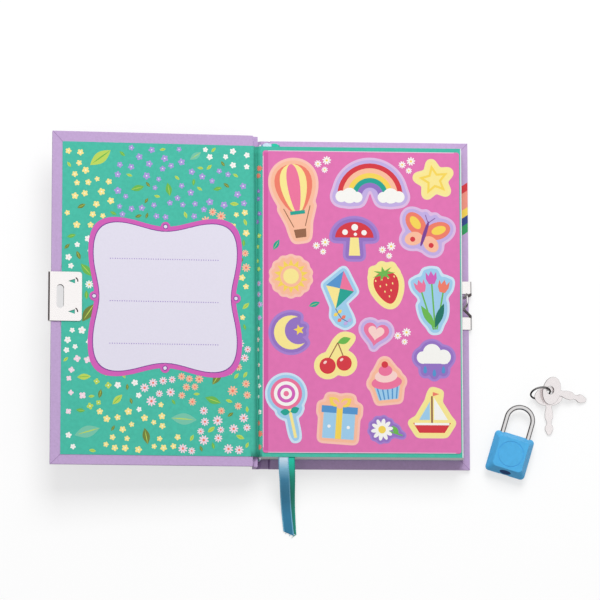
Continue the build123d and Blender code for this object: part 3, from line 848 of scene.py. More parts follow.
def ribbon_mesh(name, points, materials, loop, frays):
    """A flat woven ribbon with paler picot edges, humped at its loop and cut aslant at a frayed end."""
    lengths = [0.0]
    for before, after in zip(points, points[1:]):
        lengths.append(lengths[-1] + (after - before).length)
    vertices = []
    faces = []
    picks = []
    last = len(points) - 1
    count = len(RIBBON_SHARES)
    for index, point in enumerate(points):
        along = (points[min(index + 1, last)] - points[max(index - 1, 0)]).normalized()
        side = (Vector((1, 0, 0)) - along * along.x).normalized()
        picot = PICOT_REACH * abs(math.sin(math.pi * lengths[index] / PICOT_PITCH))
        half = RIBBON_WIDTH / 2 - PICOT_REACH + picot
        cut = END_SLANT * max(1 - (lengths[last] - lengths[index]) / END_RUN, 0) ** 2 if frays else 0
        hump = HUMP_DROP * math.sin(math.pi * index / loop) if index < loop else 0
        for share in RIBBON_SHARES:
            spot = point + side * half * share + along * cut * share
            vertices.append(spot - Vector((0, hump * share ** 2, 0)))
    for index in range(last):
        for station in range(count - 1):
            corner = index * count + station
            faces.append((corner, corner + 1, corner + count + 1, corner + count))
            reach = max(abs(share) for share in RIBBON_SHARES[station:station + 2])
            picks.append(int(reach > SELVEDGE_SHARE))
    for share, aside, out in frays:
        root = points[last] + Vector((RIBBON_WIDTH / 2 * share, -END_SLANT * share, 0))
        first = len(vertices)
        vertices += [root, root + Vector((FRAY_WIDTH, 0, 0)), root + Vector((aside, out, 0))]
        faces.append((first, first + 1, first + 2))
        picks.append(1)
    piece = mesh_object(name, vertices, faces, materials)
    paint_faces(piece, picks)
    smooth(piece)
    thicken(piece, RIBBON_THICK, 0)
    return piece


def add_ribbons():
    """Both ribbons: the held run in the book, and the free tail along a smooth route."""
    weaves = {"blue": [blue_satin, blue_selvedge], "green": [green_satin, green_selvedge]}
    for name, materials in weaves.items():
        facts = RIBBONS[name]
        run = ribbon_mesh(f"marker_{name}", run_route(facts), materials, LOOP_STATIONS, [])
        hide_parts(f"ribbon_{name}")
        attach(run, "book")
        points = spline_points(f"route_{name}", tail_route(facts))
        tail = ribbon_mesh(f"marker_{name}_tail", points, materials, 0, FRAYS[name])
        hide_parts(f"ribbon_{name}_tail")
        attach(tail, "book")


def bend_points(name, line):
    """Points of a smooth bend whose control points lie in XZ."""
    return spline_points(name, [(x, 0, z) for x, z in line])


def folded_paper(name, low_bend, high_bend, low, high, material):
    """A sheet run along Y, whose bend goes over from one line to another."""
    vertices = []
    faces = []
    count = len(low_bend)
    for row in range(SHEET_ROWS + 1):
        share = row / SHEET_ROWS
        for start, end in zip(low_bend, high_bend):
            spot = start.lerp(end, share)
            vertices.append((spot.x, low + (high - low) * share, spot.z))
    for row in range(SHEET_ROWS):
        for index in range(count - 1):
            corner = row * count + index
            faces.append((corner, corner + count, corner + count + 1, corner + 1))
    piece = mesh_object(name, vertices, faces, [material])
    smooth(piece)
    thicken(piece, PAPER_THICK, 0)
    return piece


def fold_print():
    """Small flowers that follow the endpaper's fold: their shapes, in distance across and place along."""
    chance = random.Random(FOLD_SEED)
    count = int((PAGE_HEAD - PAGE_TAIL) / FOLD_FLOWER_STEP)
    shapes = []
    for number in range(1, count):
        bunch = number // FOLD_BUNCH
        x = chance.uniform(*FOLD_REACH)
        y = PAGE_TAIL + number * FOLD_FLOWER_STEP + chance.uniform(-FOLD_JITTER, FOLD_JITTER)
        ink = FOLD_INKS[bunch % len(FOLD_INKS)]
        kind = "flower" if bunch % FOLD_DAISIES else "daisy"
        shapes += flower_shapes(kind, ink, x, y, chance.uniform(0, 360), chance.uniform(*FOLD_SIZES))
    return shapes


def add_folds():
    """The endpaper's fold and the outer joint, as bent sheets of paper."""
    tail_bend = bend_points("gutter_tail", GUTTER_TAIL)
    head_bend = bend_points("gutter_head", GUTTER_HEAD)
    gutter = folded_paper("endpaper_fold", tail_bend, head_bend, PAGE_TAIL, PAGE_HEAD, fold_paper_painted_shade)
    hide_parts("endpaper_hinge")
    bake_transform(gutter)

    def on_fold(x, y, lift):
        along = (y - PAGE_TAIL) / (PAGE_HEAD - PAGE_TAIL)
        place = min(max(x / FOLD_WIDTH, 0), 1) * (len(tail_bend) - 1)
        index = min(int(place), len(tail_bend) - 2)
        near = tail_bend[index].lerp(head_bend[index], along)
        far = tail_bend[index + 1].lerp(head_bend[index + 1], along)
        run = (far - near).normalized()
        spot = near.lerp(far, place - index) + Vector((run.z, 0, -run.x)) * (lift + FOLD_LIFT)
        return Vector((spot.x, y, spot.z))

    flowers = print_mesh("fold_flowers", fold_print(), on_fold)
    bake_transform(flowers)
    bend = bend_points("joint_bend", JOINT_LINE)
    joint = folded_paper("joint_paper", bend, bend, -HALF_HEIGHT, HALF_HEIGHT, cover_paper)
    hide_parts("front_joint")
    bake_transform(joint)


def turn_angles(count):
    """Even angles all the way round."""
    return [2 * math.pi * step / count for step in range(count)]


def polar(count, radius):
    """A closed outline whose radius depends on its angle."""
    angles = turn_angles(count)
    return [(radius(angle) * math.cos(angle), radius(angle) * math.sin(angle)) for angle in angles]


def disc(radius, count=18):
    """A round dot."""
    return polar(count, lambda angle: radius)


def blossom(petals, radius, dip):
    """A flower with rounded petals."""
    return polar(petals * 8, lambda angle: radius * (1 - dip * (1 - abs(math.cos(petals * angle / 2)))))


def star(points, outer, inner):
    """A star with straight sides."""
    outline = []
    for step in range(2 * points):
        reach = inner if step % 2 else outer
        angle = math.pi * step / points + math.pi / 2
        outline.append((reach * math.cos(angle), reach * math.sin(angle)))
    return outline


def leaf(length, width):
    """A pointed leaf along X from the origin."""
    steps = 9
    upper = [(length * step / steps, width / 2 * math.sin(math.pi * step / steps)) for step in range(steps)]
    lower = [(length - x, -y) for x, y in upper]
    return upper[::-1] + lower[::-1]


def oval(across, along, count=24):
    """An ellipse by its two radii."""
    return [(x * across, y * along) for x, y in disc(1.0, count)]


def heart(size):
    """A heart of a given half width."""
    outline = []
    for angle in turn_angles(HEART_STEPS):
        x = 16 * math.sin(angle) ** 3
        y = 13 * math.cos(angle) - 5 * math.cos(2 * angle) - 2 * math.cos(3 * angle) - math.cos(4 * angle)
        outline.append((-x * size / 16, y * size / 16))
    return outline


def arc_points(start, stop, steps):
    """Points on a circle of radius one, between two angles in degrees."""
    angles = [math.radians(start + (stop - start) * step / steps) for step in range(steps + 1)]
    return [(math.cos(angle), math.sin(angle)) for angle in angles]


def arc_band(outer, inner, start, stop):
    """Part of a ring between two angles in degrees."""
    arc = arc_points(start, stop, ARC_STEPS)
    outside = [(outer * x, outer * y) for x, y in arc]
    inside = [(inner * x, inner * y) for x, y in arc[::-1]]
    return outside + inside


def box(left, right, low, high):
    """A plain rectangle."""
    return [(left, low), (right, low), (right, high), (left, high)]


def moved(outline, x, y, turn=0.0, scale=1.0):
    """An outline turned, scaled and set down elsewhere."""
    cosine = math.cos(math.radians(turn)) * scale
    sine = math.sin(math.radians(turn)) * scale
    return [(x + cosine * px - sine * py, y + sine * px + cosine * py) for px, py in outline]


def print_mesh(name, shapes, place):
    """Flat printed shapes as one thin piece; each shape is an outline, an ink and a layer."""
    used = sorted({ink for outline, ink, layer in shapes})
    vertices = []
    faces = []
    picks = []
    for outline, ink, layer in shapes:
        first = len(vertices)
        for x, y in outline:
            vertices.append(place(x, y, LAYER * layer))
        faces.append(list(range(first, len(vertices))))
        picks.append(used.index(ink))
    piece = mesh_object(name, vertices, faces, [inks[ink] for ink in used])
    paint_faces(piece, picks)
    thicken(piece, LAYER * INK_SHARE, -1)
    return piece


def add_print(name, shapes, place, body):
    """Printed shapes on a flat face of a body."""
    piece = print_mesh(name, shapes, lambda x, y, lift: place @ Vector((x, y, lift)))
    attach(piece, body)


def cover_place():
    """Takes print coordinates, from the hinge line, to the open front cover's inside."""
    tilt = math.radians(180 + joints["cover_hinge"]["range_deg"][0])
    across = Vector((math.cos(tilt), 0, -math.sin(tilt)))
    out = Vector((math.sin(tilt), 0, math.cos(tilt)))
    origin = Vector((HINGE_X, 0, HINGE_Z)) - out * (CLOSED_FACE - HINGE_Z)
    place = Matrix((across, Vector((0, 1, 0)), out)).transposed().to_4x4()
    return Matrix.Translation(origin) @ place


def plaque(inset):
    """A label outline with rounded shoulders and drawn-in sides."""
    outline = []
    for angle in turn_angles(LABEL_STEPS):
        across = math.cos(angle)
        along = math.sin(angle)
        reach = (across ** LABEL_POWER + along ** LABEL_POWER) ** (-1 / LABEL_POWER)
        x = across * reach * (LABEL_HALF[0] - inset)
        y = along * reach * (LABEL_HALF[1] - inset)
        pinch = LABEL_DIPS[0] * math.exp(-((y / LABEL_DIP_RUNS[0]) ** 2)) * across * abs(across)
        dip = LABEL_DIPS[1] * math.exp(-((x / LABEL_DIP_RUNS[1]) ** 2)) * along * abs(along)
        outline.append((LABEL_CENTRE[0] + x - pinch, LABEL_CENTRE[1] + y - dip))
    return outline


def label_shapes():
    """The label: banded edge with a knob in each dip, pale field and plain dotted lines."""
    shapes = [(plaque(0), "magenta", 4), (plaque(LABEL_BAND), "purple", 5)]
    shapes.append((plaque(LABEL_BAND + LABEL_LINE), "label", 6))
    for side in (-1, 1):
        x = LABEL_CENTRE[0] + side * (LABEL_HALF[0] - LABEL_DIPS[0])
        y = LABEL_CENTRE[1] + side * (LABEL_HALF[1] - LABEL_DIPS[1])
        for spot in ((x, LABEL_CENTRE[1]), (LABEL_CENTRE[0], y)):
            shapes.append((moved(disc(KNOB_OUTER, 28), *spot), "magenta", 7 + 0.1 * side))
            shapes.append((moved(disc(KNOB_INNER + LABEL_LINE, 20), *spot), "purple", 8))
            shapes.append((moved(disc(KNOB_INNER, 20), *spot), "label", 9))
    dots = int(2 * DOT_REACH / DOT_PITCH)
    for line in DOT_LINES:
        for step in range(dots + 1):
            x = LABEL_CENTRE[0] - DOT_REACH + step * DOT_PITCH
            shapes.append((moved(disc(DOT_RADIUS, 7), x, LABEL_CENTRE[1] + line), "violet", 8))
    return shapes


def on_label(x, y):
    """True inside the label or under the clasp."""
    wide = abs(x - LABEL_CENTRE[0]) / LABEL_HALF[0]
    tall = abs(y - LABEL_CENTRE[1]) / LABEL_HALF[1]
    if (wide ** ROOM_POWER + tall ** ROOM_POWER) ** (1 / ROOM_POWER) < LABEL_ROOM:
        return True
    return x < CLASP_LEFT and abs(y) < CLASP_HALF


def flower_shapes(kind, ink, x, y, turn, size):
    """One small printed flower or leaf."""
    if kind == "leaf":
        blade = moved(leaf(size * BLADE[0], size * BLADE[1]), x, y, turn)
        vein = moved(leaf(size * VEIN[0], size * VEIN[1]), x, y, turn)
        return [(blade, ink, 1), (vein, "lime" if ink != "lime" else "leaf", 2)]
    if kind == "daisy":
        heart_ink = "yellow" if ink == "white" else "coral"
        petals = moved(blossom(DAISY_PETALS, size * DAISY_REACH, DAISY_DIP), x, y, turn)
        return [(petals, ink, 1), (moved(disc(size * DAISY_HEART, 12), x, y), heart_ink, 2)]
    count = 4 if kind == "cross" else 5
    middle = "blush" if ink == "white" else "white"
    petals = moved(blossom(count, size, FLOWER_DIP), x, y, turn)
    return [(petals, ink, 1), (moved(disc(size * FLOWER_HEART, 8), x, y), middle, 2)]


def scatter_shapes():
    """A scatter of small flowers and leaves, gathered by colour in loose patches."""
    chance = random.Random(SCATTER_SEED)
    patches = []
    for number in range(PATCH_COUNT):
        spot = (chance.uniform(PRINT_LEFT, PRINT_RIGHT), chance.uniform(PAGE_TAIL, PAGE_HEAD))
        patches.append((spot, *PATCH_KINDS[number % len(PATCH_KINDS)]))
    taken = []
    shapes = []
    for attempt in range(SCATTER_TRIES):
        x = chance.uniform(PRINT_LEFT, PRINT_RIGHT)
        y = chance.uniform(PAGE_TAIL, PAGE_HEAD)
        is_big = attempt < BIG_LEAF_TRIES and len(taken) < BIG_LEAF_COUNT
        is_leaf = is_big or chance.random() < LEAF_SHARE
        if is_leaf:
            size = chance.choice(BIG_LEAF_SIZES if is_big else LEAF_SIZES)
        else:
            size = chance.uniform(*FLOWER_SIZES)
        room = size * FLOWER_ROOM
        fits_across = PRINT_LEFT + room < x < PRINT_RIGHT - room
        fits_along = PAGE_TAIL + room < y < PAGE_HEAD - room
        if not (fits_across and fits_along) or on_label(x, y):
            continue
        if any((x - px) ** 2 + (y - py) ** 2 < (room + other) ** 2 for px, py, other in taken):
            continue
        taken.append((x, y, room))
        nearest = min(patches, key=lambda patch: (x - patch[0][0]) ** 2 + (y - patch[0][1]) ** 2)
        kind, ink = nearest[1:]
        turn = chance.uniform(0, 360)
        if is_leaf:
            kind = "leaf"
            ink = chance.choice(BIG_LEAF_INKS if is_big else LEAF_INKS)
            x -= size * BLADE[0] / 2 * math.cos(math.radians(turn))
            y -= size * BLADE[0] / 2 * math.sin(math.radians(turn))
        shapes += flower_shapes(kind, ink, x, y, turn, size)
    return shapes


def egg(width, height):
    """An egg outline, wide end up."""
    outline = []
    for angle in turn_angles(EGG_STEPS):
        swell = 0.76 + 0.24 * math.cos(angle)
        outline.append((-width * math.sin(angle) * swell, height * math.cos(angle)))
    return outline


def stroke(start, end, width):
    """A thin straight line."""
    run = Vector((end[0] - start[0], end[1] - start[1]))
    side = run.orthogonal().normalized() * width / 2
    near = Vector(start)
    far = Vector(end)
    return [tuple(near - side), tuple(far - side), tuple(far + side), tuple(near + side)]


def balloon_motif():
    """A striped hot-air balloon."""
    shapes = []
    for side in (-1, 1):
        shapes.append((stroke((side * 7.6, -2.5), (side * 3.0, -14.5), 0.5), "brown", 3))
    for width, ink, layer in ((13.5, "coral", 4), (9.6, "cream", 5), (4.6, "rose", 6)):
        shapes.append((moved(egg(width, 14.5), 0, 8), ink, layer))
    shapes.append((box(-4.2, 4.2, -6.6, -4.6), "teal", 7))
    shapes.append(([(-3.0, -20), (3.0, -20), (3.6, -14), (-3.6, -14)], "brown", 4))
    shapes.append((box(-4.0, 4.0, -15.2, -13.8), "peach", 5))
    return shapes


def rainbow_motif():
    """A rainbow standing on two clouds."""
    shapes = []
    for number, ink in enumerate(("red", "peach", "yellow", "teal", "violet")):
        outer = 20.0 - 3.0 * number
        shapes.append((moved(arc_band(outer, outer - 3.0, 0, 180), 0, -8), ink, 3))
    for side in (-1, 1):
        for x, y, size in ((12.6, -8.0, 4.8), (17.6, -8.6, 3.6), (8.0, -9.0, 3.4)):
            shapes.append((moved(disc(size), side * x, y), "white", 4))
    return shapes


def star_motif():
    """A plain star."""
    return [(star(5, 9.4, 4.4), "yellow", 3), (star(5, 6.2, 2.9), "cream", 4)]


def butterfly_motif():
    """A butterfly seen from above."""
    shapes = []
    for side in (-1, 1):
        shapes.append((moved(oval(8.2, 5.4), side * 7.0, 4.2, side * 36), "coral", 3))
        shapes.append((moved(oval(5.6, 4.2), side * 5.6, -5.0, side * -32), "peach", 3))
        shapes.append((moved(oval(4.6, 2.6), side * 7.6, 4.8, side * 36), "yellow", 4))
        shapes.append((moved(disc(1.6, 12), side * 6.0, -5.6), "red", 4))
        shapes.append((stroke((0, 7), (side * 3.2, 11.4), 0.4), "purple", 5))
    shapes.append((oval(1.1, 8.2), "purple", 6))
    return shapes


def toadstool_motif():
    """A spotted toadstool."""
    cap = [(x * 11.5, max(y, 0) * 9.5 - 0.6) for x, y in disc(1.0, 40)]
    shapes = [([(-3.4, -11.5), (3.4, -11.5), (2.4, 0.6), (-2.4, 0.6)], "cream", 3), (cap, "red", 4)]
    for x, y, size in ((-5.6, 2.6, 1.7), (0.2, 5.6, 2.0), (5.8, 2.4, 1.6), (0.6, 1.4, 1.0)):
        shapes.append((moved(disc(size, 14), x, y), "white", 5))
    return shapes


def kite_motif():
    """A kite in four panels with bows on its tail."""
    middle = (0, 4)
    tips = [(0, 16), (-9.5, 4), (0, -10), (9.5, 4)]
    shapes = []
    for number, ink in enumerate(("blue", "cream", "teal", "rose")):
        shapes.append(([middle, tips[number], tips[(number + 1) % 4]], ink, 4))
    bows = [(2.0, -12.5), (5.2, -15.6), (9.6, -16.8)]
    for start, end in zip([(0, -10)] + bows, bows):
        shapes.append((stroke(start, end, 0.45), "navy", 3))
    for number, (x, y) in enumerate(bows):
        ink = ("yellow", "coral", "lilac")[number]
        for turn in (50, 230):
            shapes.append((moved(leaf(3.4, 2.4), x, y, turn), ink, 5))
    return shapes


def sun_motif():
    """A sun with pointed rays."""
    return [(star(14, 11.5, 7.6), "yellow", 3), (disc(7.2, 30), "peach", 4), (disc(5.2, 26), "cream", 5)]


def strawberry_motif():
    """A strawberry with seeds and a leafy crown."""
    shapes = [(egg(10.0, 10.5), "red", 3)]
    for y, count in ((5.0, 4), (1.0, 3), (-3.0, 2), (-6.5, 1)):
        for step in range(count):
            x = (step - (count - 1) / 2) * 4.0
            shapes.append((moved(leaf(1.6, 0.9), x, y, 90), "cream", 4))
    crown = [(x, y * 0.62 + 9.2) for x, y in star(7, 7.4, 2.6)]
    shapes.append((crown, "leaf", 5))
    return shapes


def tulips_motif():
    """Three tulips in a bunch."""
    rim = [(-3.4, 5.4), (-1.7, 2.8), (0, 6.0), (1.7, 2.8), (3.4, 5.4)]
    cup = rim + [(3.5, 1.0), (1.8, -2.4), (-1.8, -2.4), (-3.5, 1.0)]
    shapes = []
    for x, y, ink in ((-7.0, 8.0, "rose"), (0.0, 13.0, "magenta"), (7.0, 7.0, "coral")):
        shapes.append((stroke((x, y - 2), (x * 0.15, -19), 1.0), "leaf", 3))
        shapes.append((moved(cup[::-1], x, y, -x * 2.2), ink, 5))
    for turn, ink in ((118, "leaf"), (66, "dark_leaf")):
        shapes.append((moved(leaf(17, 4.6), 0, -18, turn), ink, 4))
    return shapes


def heart_motif():
    """A heart within a heart."""
    return [(heart(8.6), "rose", 3), (moved(heart(5.4), 0, 0.4), "blush", 4)]


def moon_motif():
    """A crescent moon and a small star."""
    outer = [(11 * x, 11 * y) for x, y in arc_points(51, 309, MOON_STEPS)]
    inner = [(8.8 * x + 4.95, 8.8 * y) for x, y in arc_points(279, 81, MOON_STEPS)]
    return [(outer + inner, "cream", 3), (moved(star(5, 3.6, 1.6), 5.4, 0.4), "yellow", 4)]


def cherries_motif():
    """Two cherries on one stalk."""
    shapes = []
    for x, y, size in ((-5.0, -5.4, 5.2), (5.6, -3.6, 4.9)):
        shapes.append((stroke((x, y + 3), (1.6, 9.6), 0.7), "brown", 3))
        shapes.append((moved(disc(size, 28), x, y), "red", 4))
        shapes.append((moved(oval(1.3, 0.8), x - 1.6, y + 2.2, 40), "blush", 5))
    shapes.append((moved(leaf(9.0, 4.4), 1.4, 9.4, 20), "leaf", 5))
    return shapes


def cupcake_motif():
    """A cupcake in a pleated case."""
    shapes = [([(-6.4, -11.5), (6.4, -11.5), (8.6, -2), (-8.6, -2)], "sky", 3)]
    for step in range(5):
        x = (step - 2) * 2.6
        shapes.append((stroke((x, -11.3), (x * 1.34, -2), 0.9), "blue", 4))
    for y, wide, tall, ink in ((0.0, 10.2, 4.6, "rose"), (4.2, 7.6, 4.2, "blush"), (8.0, 4.6, 3.6, "rose")):
        shapes.append((moved(oval(wide, tall), 0, y), ink, 5))
    shapes.append((moved(disc(2.2), 0, 12.0), "red", 6))
    return shapes


def cloud_motif():
    """A cloud with drops of rain."""
    shapes = [(box(-9.5, 9.5, -2.6, 2), "white", 3)]
    for x, y, size in ((-8.0, 1.6, 4.4), (-1.6, 5.0, 6.4), (6.6, 2.2, 5.2)):
        shapes.append((moved(disc(size, 26), x, y), "white", 3))
    for x, y in ((-6.5, -7.0), (0.0, -9.2), (6.5, -7.0)):
        shapes.append((moved(egg(1.6, 2.6), x, y, 180), "blue", 4))
    return shapes


def lolly_motif():
    """A round lolly on a stick."""
    shapes = [(box(-1.0, 1.0, -20, 1), "cream", 3)]
    for size, ink in ((10.5, "rose"), (8.2, "white"), (6.0, "magenta"), (3.8, "white"), (1.8, "rose")):
        shapes.append((moved(disc(size, 32), 0, 10), ink, 4 + (10.5 - size) / 2.2))
    for side in (-1, 1):
        shapes.append((moved(leaf(6.6, 4.4), 0, -2.5, 90 - side * 78), "teal", 5))
    return shapes


def gift_motif():
    """A wrapped gift with a bow."""
    shapes = [(box(-10.5, 10.5, -13, 4.5), "sky", 3), (box(-12, 12, 4.0, 8.6), "blue", 4)]
    shapes.append((box(-2.0, 2.0, -13, 8.6), "yellow", 5))
    for side in (-1, 1):
        shapes.append((moved(leaf(9.4, 6.0), 0, 8.4, 90 - side * 52), "yellow", 6))
        shapes.append((moved(leaf(5.4, 2.6), side * 0.8, 9.6, 90 - side * 52), "peach", 7))
        shapes.append((moved(disc(1.1, 12), side * 6.4, -5.0), "white", 4))
    shapes.append((moved(disc(2.2), 0, 9.2), "peach", 8))
    return shapes


def daisy_motif():
    """One large daisy on its stem."""
    shapes = [(stroke((0, 0), (-2.0, -17), 1.2), "leaf", 3), (moved(leaf(10, 4.6), -1.4, -13, 48), "leaf", 4)]
    shapes += [(moved(blossom(10, 10.5, 0.42), 0, 3), "white", 5), (moved(disc(3.6), 0, 3), "yellow", 6)]
    return shapes


def boat_motif():
    """A small sailing boat."""
    shapes = [([(-8.4, -11), (8.4, -11), (12.6, -4.4), (-12.6, -4.4)], "red", 4)]
    shapes.append((box(-11.6, 11.6, -5.9, -4.4), "white", 5))
    shapes.append((box(-0.6, 0.6, -4.4, 13.4), "brown", 3))
    shapes.append(([(1.4, -2.4), (10.6, -2.4), (1.4, 12.4)], "white", 4))
    shapes.append(([(-1.4, -2.4), (-1.4, 9.8), (-8.6, -2.4)], "sky", 4))
    shapes.append(([(0.6, 13.4), (0.6, 16.2), (5.0, 14.8)], "coral", 4))
    return shapes


STICKERS = [
    (balloon_motif, -37, 56, 8, 1.0, "pale_peach", "peach"),
    (rainbow_motif, 5, 68, 0, 0.93, "pale_violet", "lilac"),
    (star_motif, 41.5, 70, 10, 0.95, "pale_yellow", "cream"),
    (butterfly_motif, 36, 39, -18, 0.92, "pale_violet", "lilac"),
    (toadstool_motif, -4, 37, 0, 0.95, "deep_violet", "violet"),
    (sun_motif, -40, 14, 0, 0.85, "pale_peach", "peach"),
    (kite_motif, -13, 4, -12, 0.85, "pale_blue", "sky"),
    (strawberry_motif, 14.5, 8, 14, 0.9, "pale_yellow", "cream"),
    (tulips_motif, 40.5, 1, 4, 0.88, "pale_blue", "sky"),
    (moon_motif, -40, -18, 14, 0.88, "deep_violet", "violet"),
    (cherries_motif, -15, -32, 0, 0.88, "pale_yellow", "cream"),
    (heart_motif, 8, -18, -10, 0.85, "pale_violet", "lilac"),
    (cupcake_motif, 14, -46, 6, 0.85, "pale_peach", "peach"),
    (cloud_motif, 41, -33, 0, 0.8, "deep_violet", "violet"),
    (lolly_motif, -41, -61, 12, 0.85, "pale_blue", "sky"),
    (gift_motif, -13, -67, -4, 0.85, "pale_peach", "peach"),
    (daisy_motif, 13, -73, 80, 0.6, "deep_violet", "violet"),
    (boat_motif, 39.5, -65, 0, 0.85, "pale_yellow", "cream"),
]
SMALL_BUNCHES = [(-23, 31), (14.5, 29), (23, -20), (-22, 78), (26, 78)]
SMALL_LEAVES = [(-50, 29, 60), (-30, -3, 20)]


def halo(shapes, margin):
    """A smooth cut line standing off all round a motif."""
    points = []
    for outline, ink, layer in shapes:
        for (ax, ay), (bx, by) in zip(outline, outline[1:] + outline[:1]):
            parts = max(int(math.hypot(bx - ax, by - ay) / POINT_SPACING), 1)
            for part in range(parts):
                share = part / parts
                points.append((ax + (bx - ax) * share, ay + (by - ay) * share))
    angles = turn_angles(HALO_STEPS)
    reach = []
    for angle in angles:
        cosine = math.cos(angle)
        sine = math.sin(angle)
        best = margin
        for x, y in points:
            off = x * sine - y * cosine
            if abs(off) < margin:
                best = max(best, x * cosine + y * sine + math.sqrt(margin ** 2 - off ** 2))
        reach.append(best)
    for _ in range(HALO_SWEEPS):
        after = reach[1:] + reach[:1]
        before = reach[-1:] + reach[:-1]
        reach = [(low + 2 * mid + high) / 4 for low, mid, high in zip(before, reach, after)]
    return [(far * math.cos(angle), far * math.sin(angle)) for far, angle in zip(reach, angles)]


def sticker_shapes():
    """The sheet's stickers on their cut backings, and small bits between them."""
    shapes = []
    for motif, x, y, turn, scale, outer, inner in STICKERS:
        drawn = motif()
        place = (SHEET_CENTRE[0] + x, SHEET_CENTRE[1] + y, turn, scale)
        shapes.append((moved(halo(drawn, HALO_WIDE), *place), outer, 1))
        shapes.append((moved(halo(drawn, HALO_NARROW), *place), inner, 2))
        drawn.sort(key=lambda shape: shape[2])
        for rank, (outline, ink, layer) in enumerate(drawn):
            shapes.append((moved(outline, *place), ink, 3 + STICKER_STEP * rank))
    for x, y in SMALL_BUNCHES:
        for aside, up, size in ((-2.6, 0.6, 1.6), (2.4, 2.6, 1.9), (1.2, -2.8, 1.4)):
            spot = (SHEET_CENTRE[0] + x + aside, SHEET_CENTRE[1] + y + up)
            shapes += flower_shapes("daisy", "white", *spot, 20 * aside, size)
    for x, y, turn in SMALL_LEAVES:
        shapes += flower_shapes("leaf", "teal", SHEET_CENTRE[0] + x, SHEET_CENTRE[1] + y, turn, 2.6)
    return shapes


def edge_shapes():
    """The sheet's own pale cut edge, and a darker pink band along its left margin."""
    left = SHEET_CENTRE[0] - SHEET_HALF[0]
    right = SHEET_CENTRE[0] + SHEET_HALF[0]
    low = SHEET_CENTRE[1] - SHEET_HALF[1]
    high = SHEET_CENTRE[1] + SHEET_HALF[1]
    lines = [box(left, left + EDGE_LINE, low + EDGE_ENDS, high - EDGE_ENDS)]
    lines.append(box(left + EDGE_ENDS, right - EDGE_ENDS, low, low + EDGE_LINE))
    lines.append(box(left + EDGE_ENDS, right - EDGE_ENDS, high - EDGE_LINE, high))
    shapes = [(line, "sheet_edge", EDGE_LAYER) for line in lines]
    # darker pink band along the left margin
    band = box(left + DARK_MARGIN_LEFT, left + DARK_MARGIN_RIGHT, low + DARK_MARGIN_ENDS, high - DARK_MARGIN_ENDS)
    shapes.append((band, "stub", EDGE_LAYER))
    return shapes


def stripe_shapes():
    """Sloping stripes on the back cover's turned-in fore edge."""
    shapes = []
    for ink, low, high in STRIPES:
        rise_left = STRIPE_SLOPE * (STRIPE_LEFT - STRIPE_MIDDLE)
        rise_right = STRIPE_SLOPE * (STRIPE_RIGHT - STRIPE_MIDDLE)
        near = [(STRIPE_LEFT, low + rise_left), (STRIPE_RIGHT, low + rise_right)]
        far = [(STRIPE_RIGHT, high + rise_right), (STRIPE_LEFT, high + rise_left)]
        shapes.append((near + far, ink, 1))
    return shapes


def stripe_edge_shapes():
    """The same stripes going over the edge of the board, as along and up."""
    rise = STRIPE_SLOPE * (FORE_EDGE - STRIPE_MIDDLE)
    shapes = []
    for ink, low, high in STRIPES:
        shapes.append((box(low + rise, high + rise, STRIPE_LOW, STRIPE_HIGH), ink, 1))
    return shapes


def lock_slope():
    """Takes print coordinates to the sloped lower end of the padlock's face, from the slope's foot."""
    lock = Matrix.Translation((LOCK_CENTRE[0], LOCK_CENTRE[1], LOCK_HALF_THICK))
    lock = lock @ Matrix.Rotation(math.radians(-LOCK_TURN), 4, "Z")
    rise = Vector((0, LOCK_BEVEL_SIDE, LOCK_BEVEL_DEEP)).normalized()
    out = Vector((0, -LOCK_BEVEL_DEEP, LOCK_BEVEL_SIDE)).normalized()
    slope = Matrix((Vector((1, 0, 0)), rise, out)).transposed().to_4x4()
    foot = Matrix.Translation((0, -LOCK_HALF_HEIGHT, LOCK_HALF_THICK - LOCK_BEVEL_DEEP))
    return lock @ foot @ slope


def cover_spots(cover, name):
    """The points of one of the front cover's pieces, in print coordinates."""
    back = cover.inverted()
    piece = nodes[name]
    return [back @ (piece.matrix_world @ vertex.co / MM) for vertex in piece.data.vertices]


def star_shapes():
    """Loose stars with a dot after every second one, clear of each other and of the clasp."""
    chance = random.Random(STAR_SEED)
    taken = []
    shapes = []
    for _ in range(STAR_TRIES):
        x = chance.uniform(*STAR_ACROSS)
        y = chance.uniform(-STAR_ALONG, STAR_ALONG)
        size = chance.uniform(*STAR_SIZES)
        turn = chance.uniform(0, 360)
        ink = chance.choice(STAR_INKS)
        by_clasp = x > STAR_CLASP[0] and abs(y) < STAR_CLASP[1]
        crowded = any(math.hypot(x - px, y - py) < STAR_ROOM * (size + other) for px, py, other in taken)
        if by_clasp or crowded:
            continue
        taken.append((x, y, size))
        outline = star(5, size, size * STAR_WAIST) if len(taken) % STAR_CYCLE else disc(size * STAR_DOT)
        shapes.append((moved(outline, x, y, turn), ink, 1))
    return shapes


def clasp_painted_shapes(bend):
    """Painted shade on the rim of the pressed hollow at each prong, and a painted dark reflection along the
    bend.
    """
    rim = arc_band(DIMPLE_OUTER, DIMPLE_INNER, *DIMPLE_SPAN)
    shapes = [(moved(rim, DIMPLE_X, side * DIMPLE_PITCH / 2), "dimple", 1) for side in (-1, 1)]
    near, far = PAINTED_BEND_REFLECTION
    shapes.append((box(bend + near, bend + far, -BEND_HALF, BEND_HALF), "dimple", 1))
    return shapes


def twin(name, node):
    """A copy of a piece of the padlock, in place of the hidden original."""
    mesh = nodes[node].data.copy()
    mesh.transform(nodes[node].matrix_world)
    piece = bpy.data.objects.new(name, mesh)
    bpy.context.scene.collection.objects.link(piece)
    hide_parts(node)
    return piece


def add_springs():
    """The padlock's latch, attached to the book, and its coil, as copies of their pieces."""
    latch = twin("latch", "latch_spring")
    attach(latch, "book")
    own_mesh(latch)
    coil = twin("coil", "shackle_spring")
    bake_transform(coil)


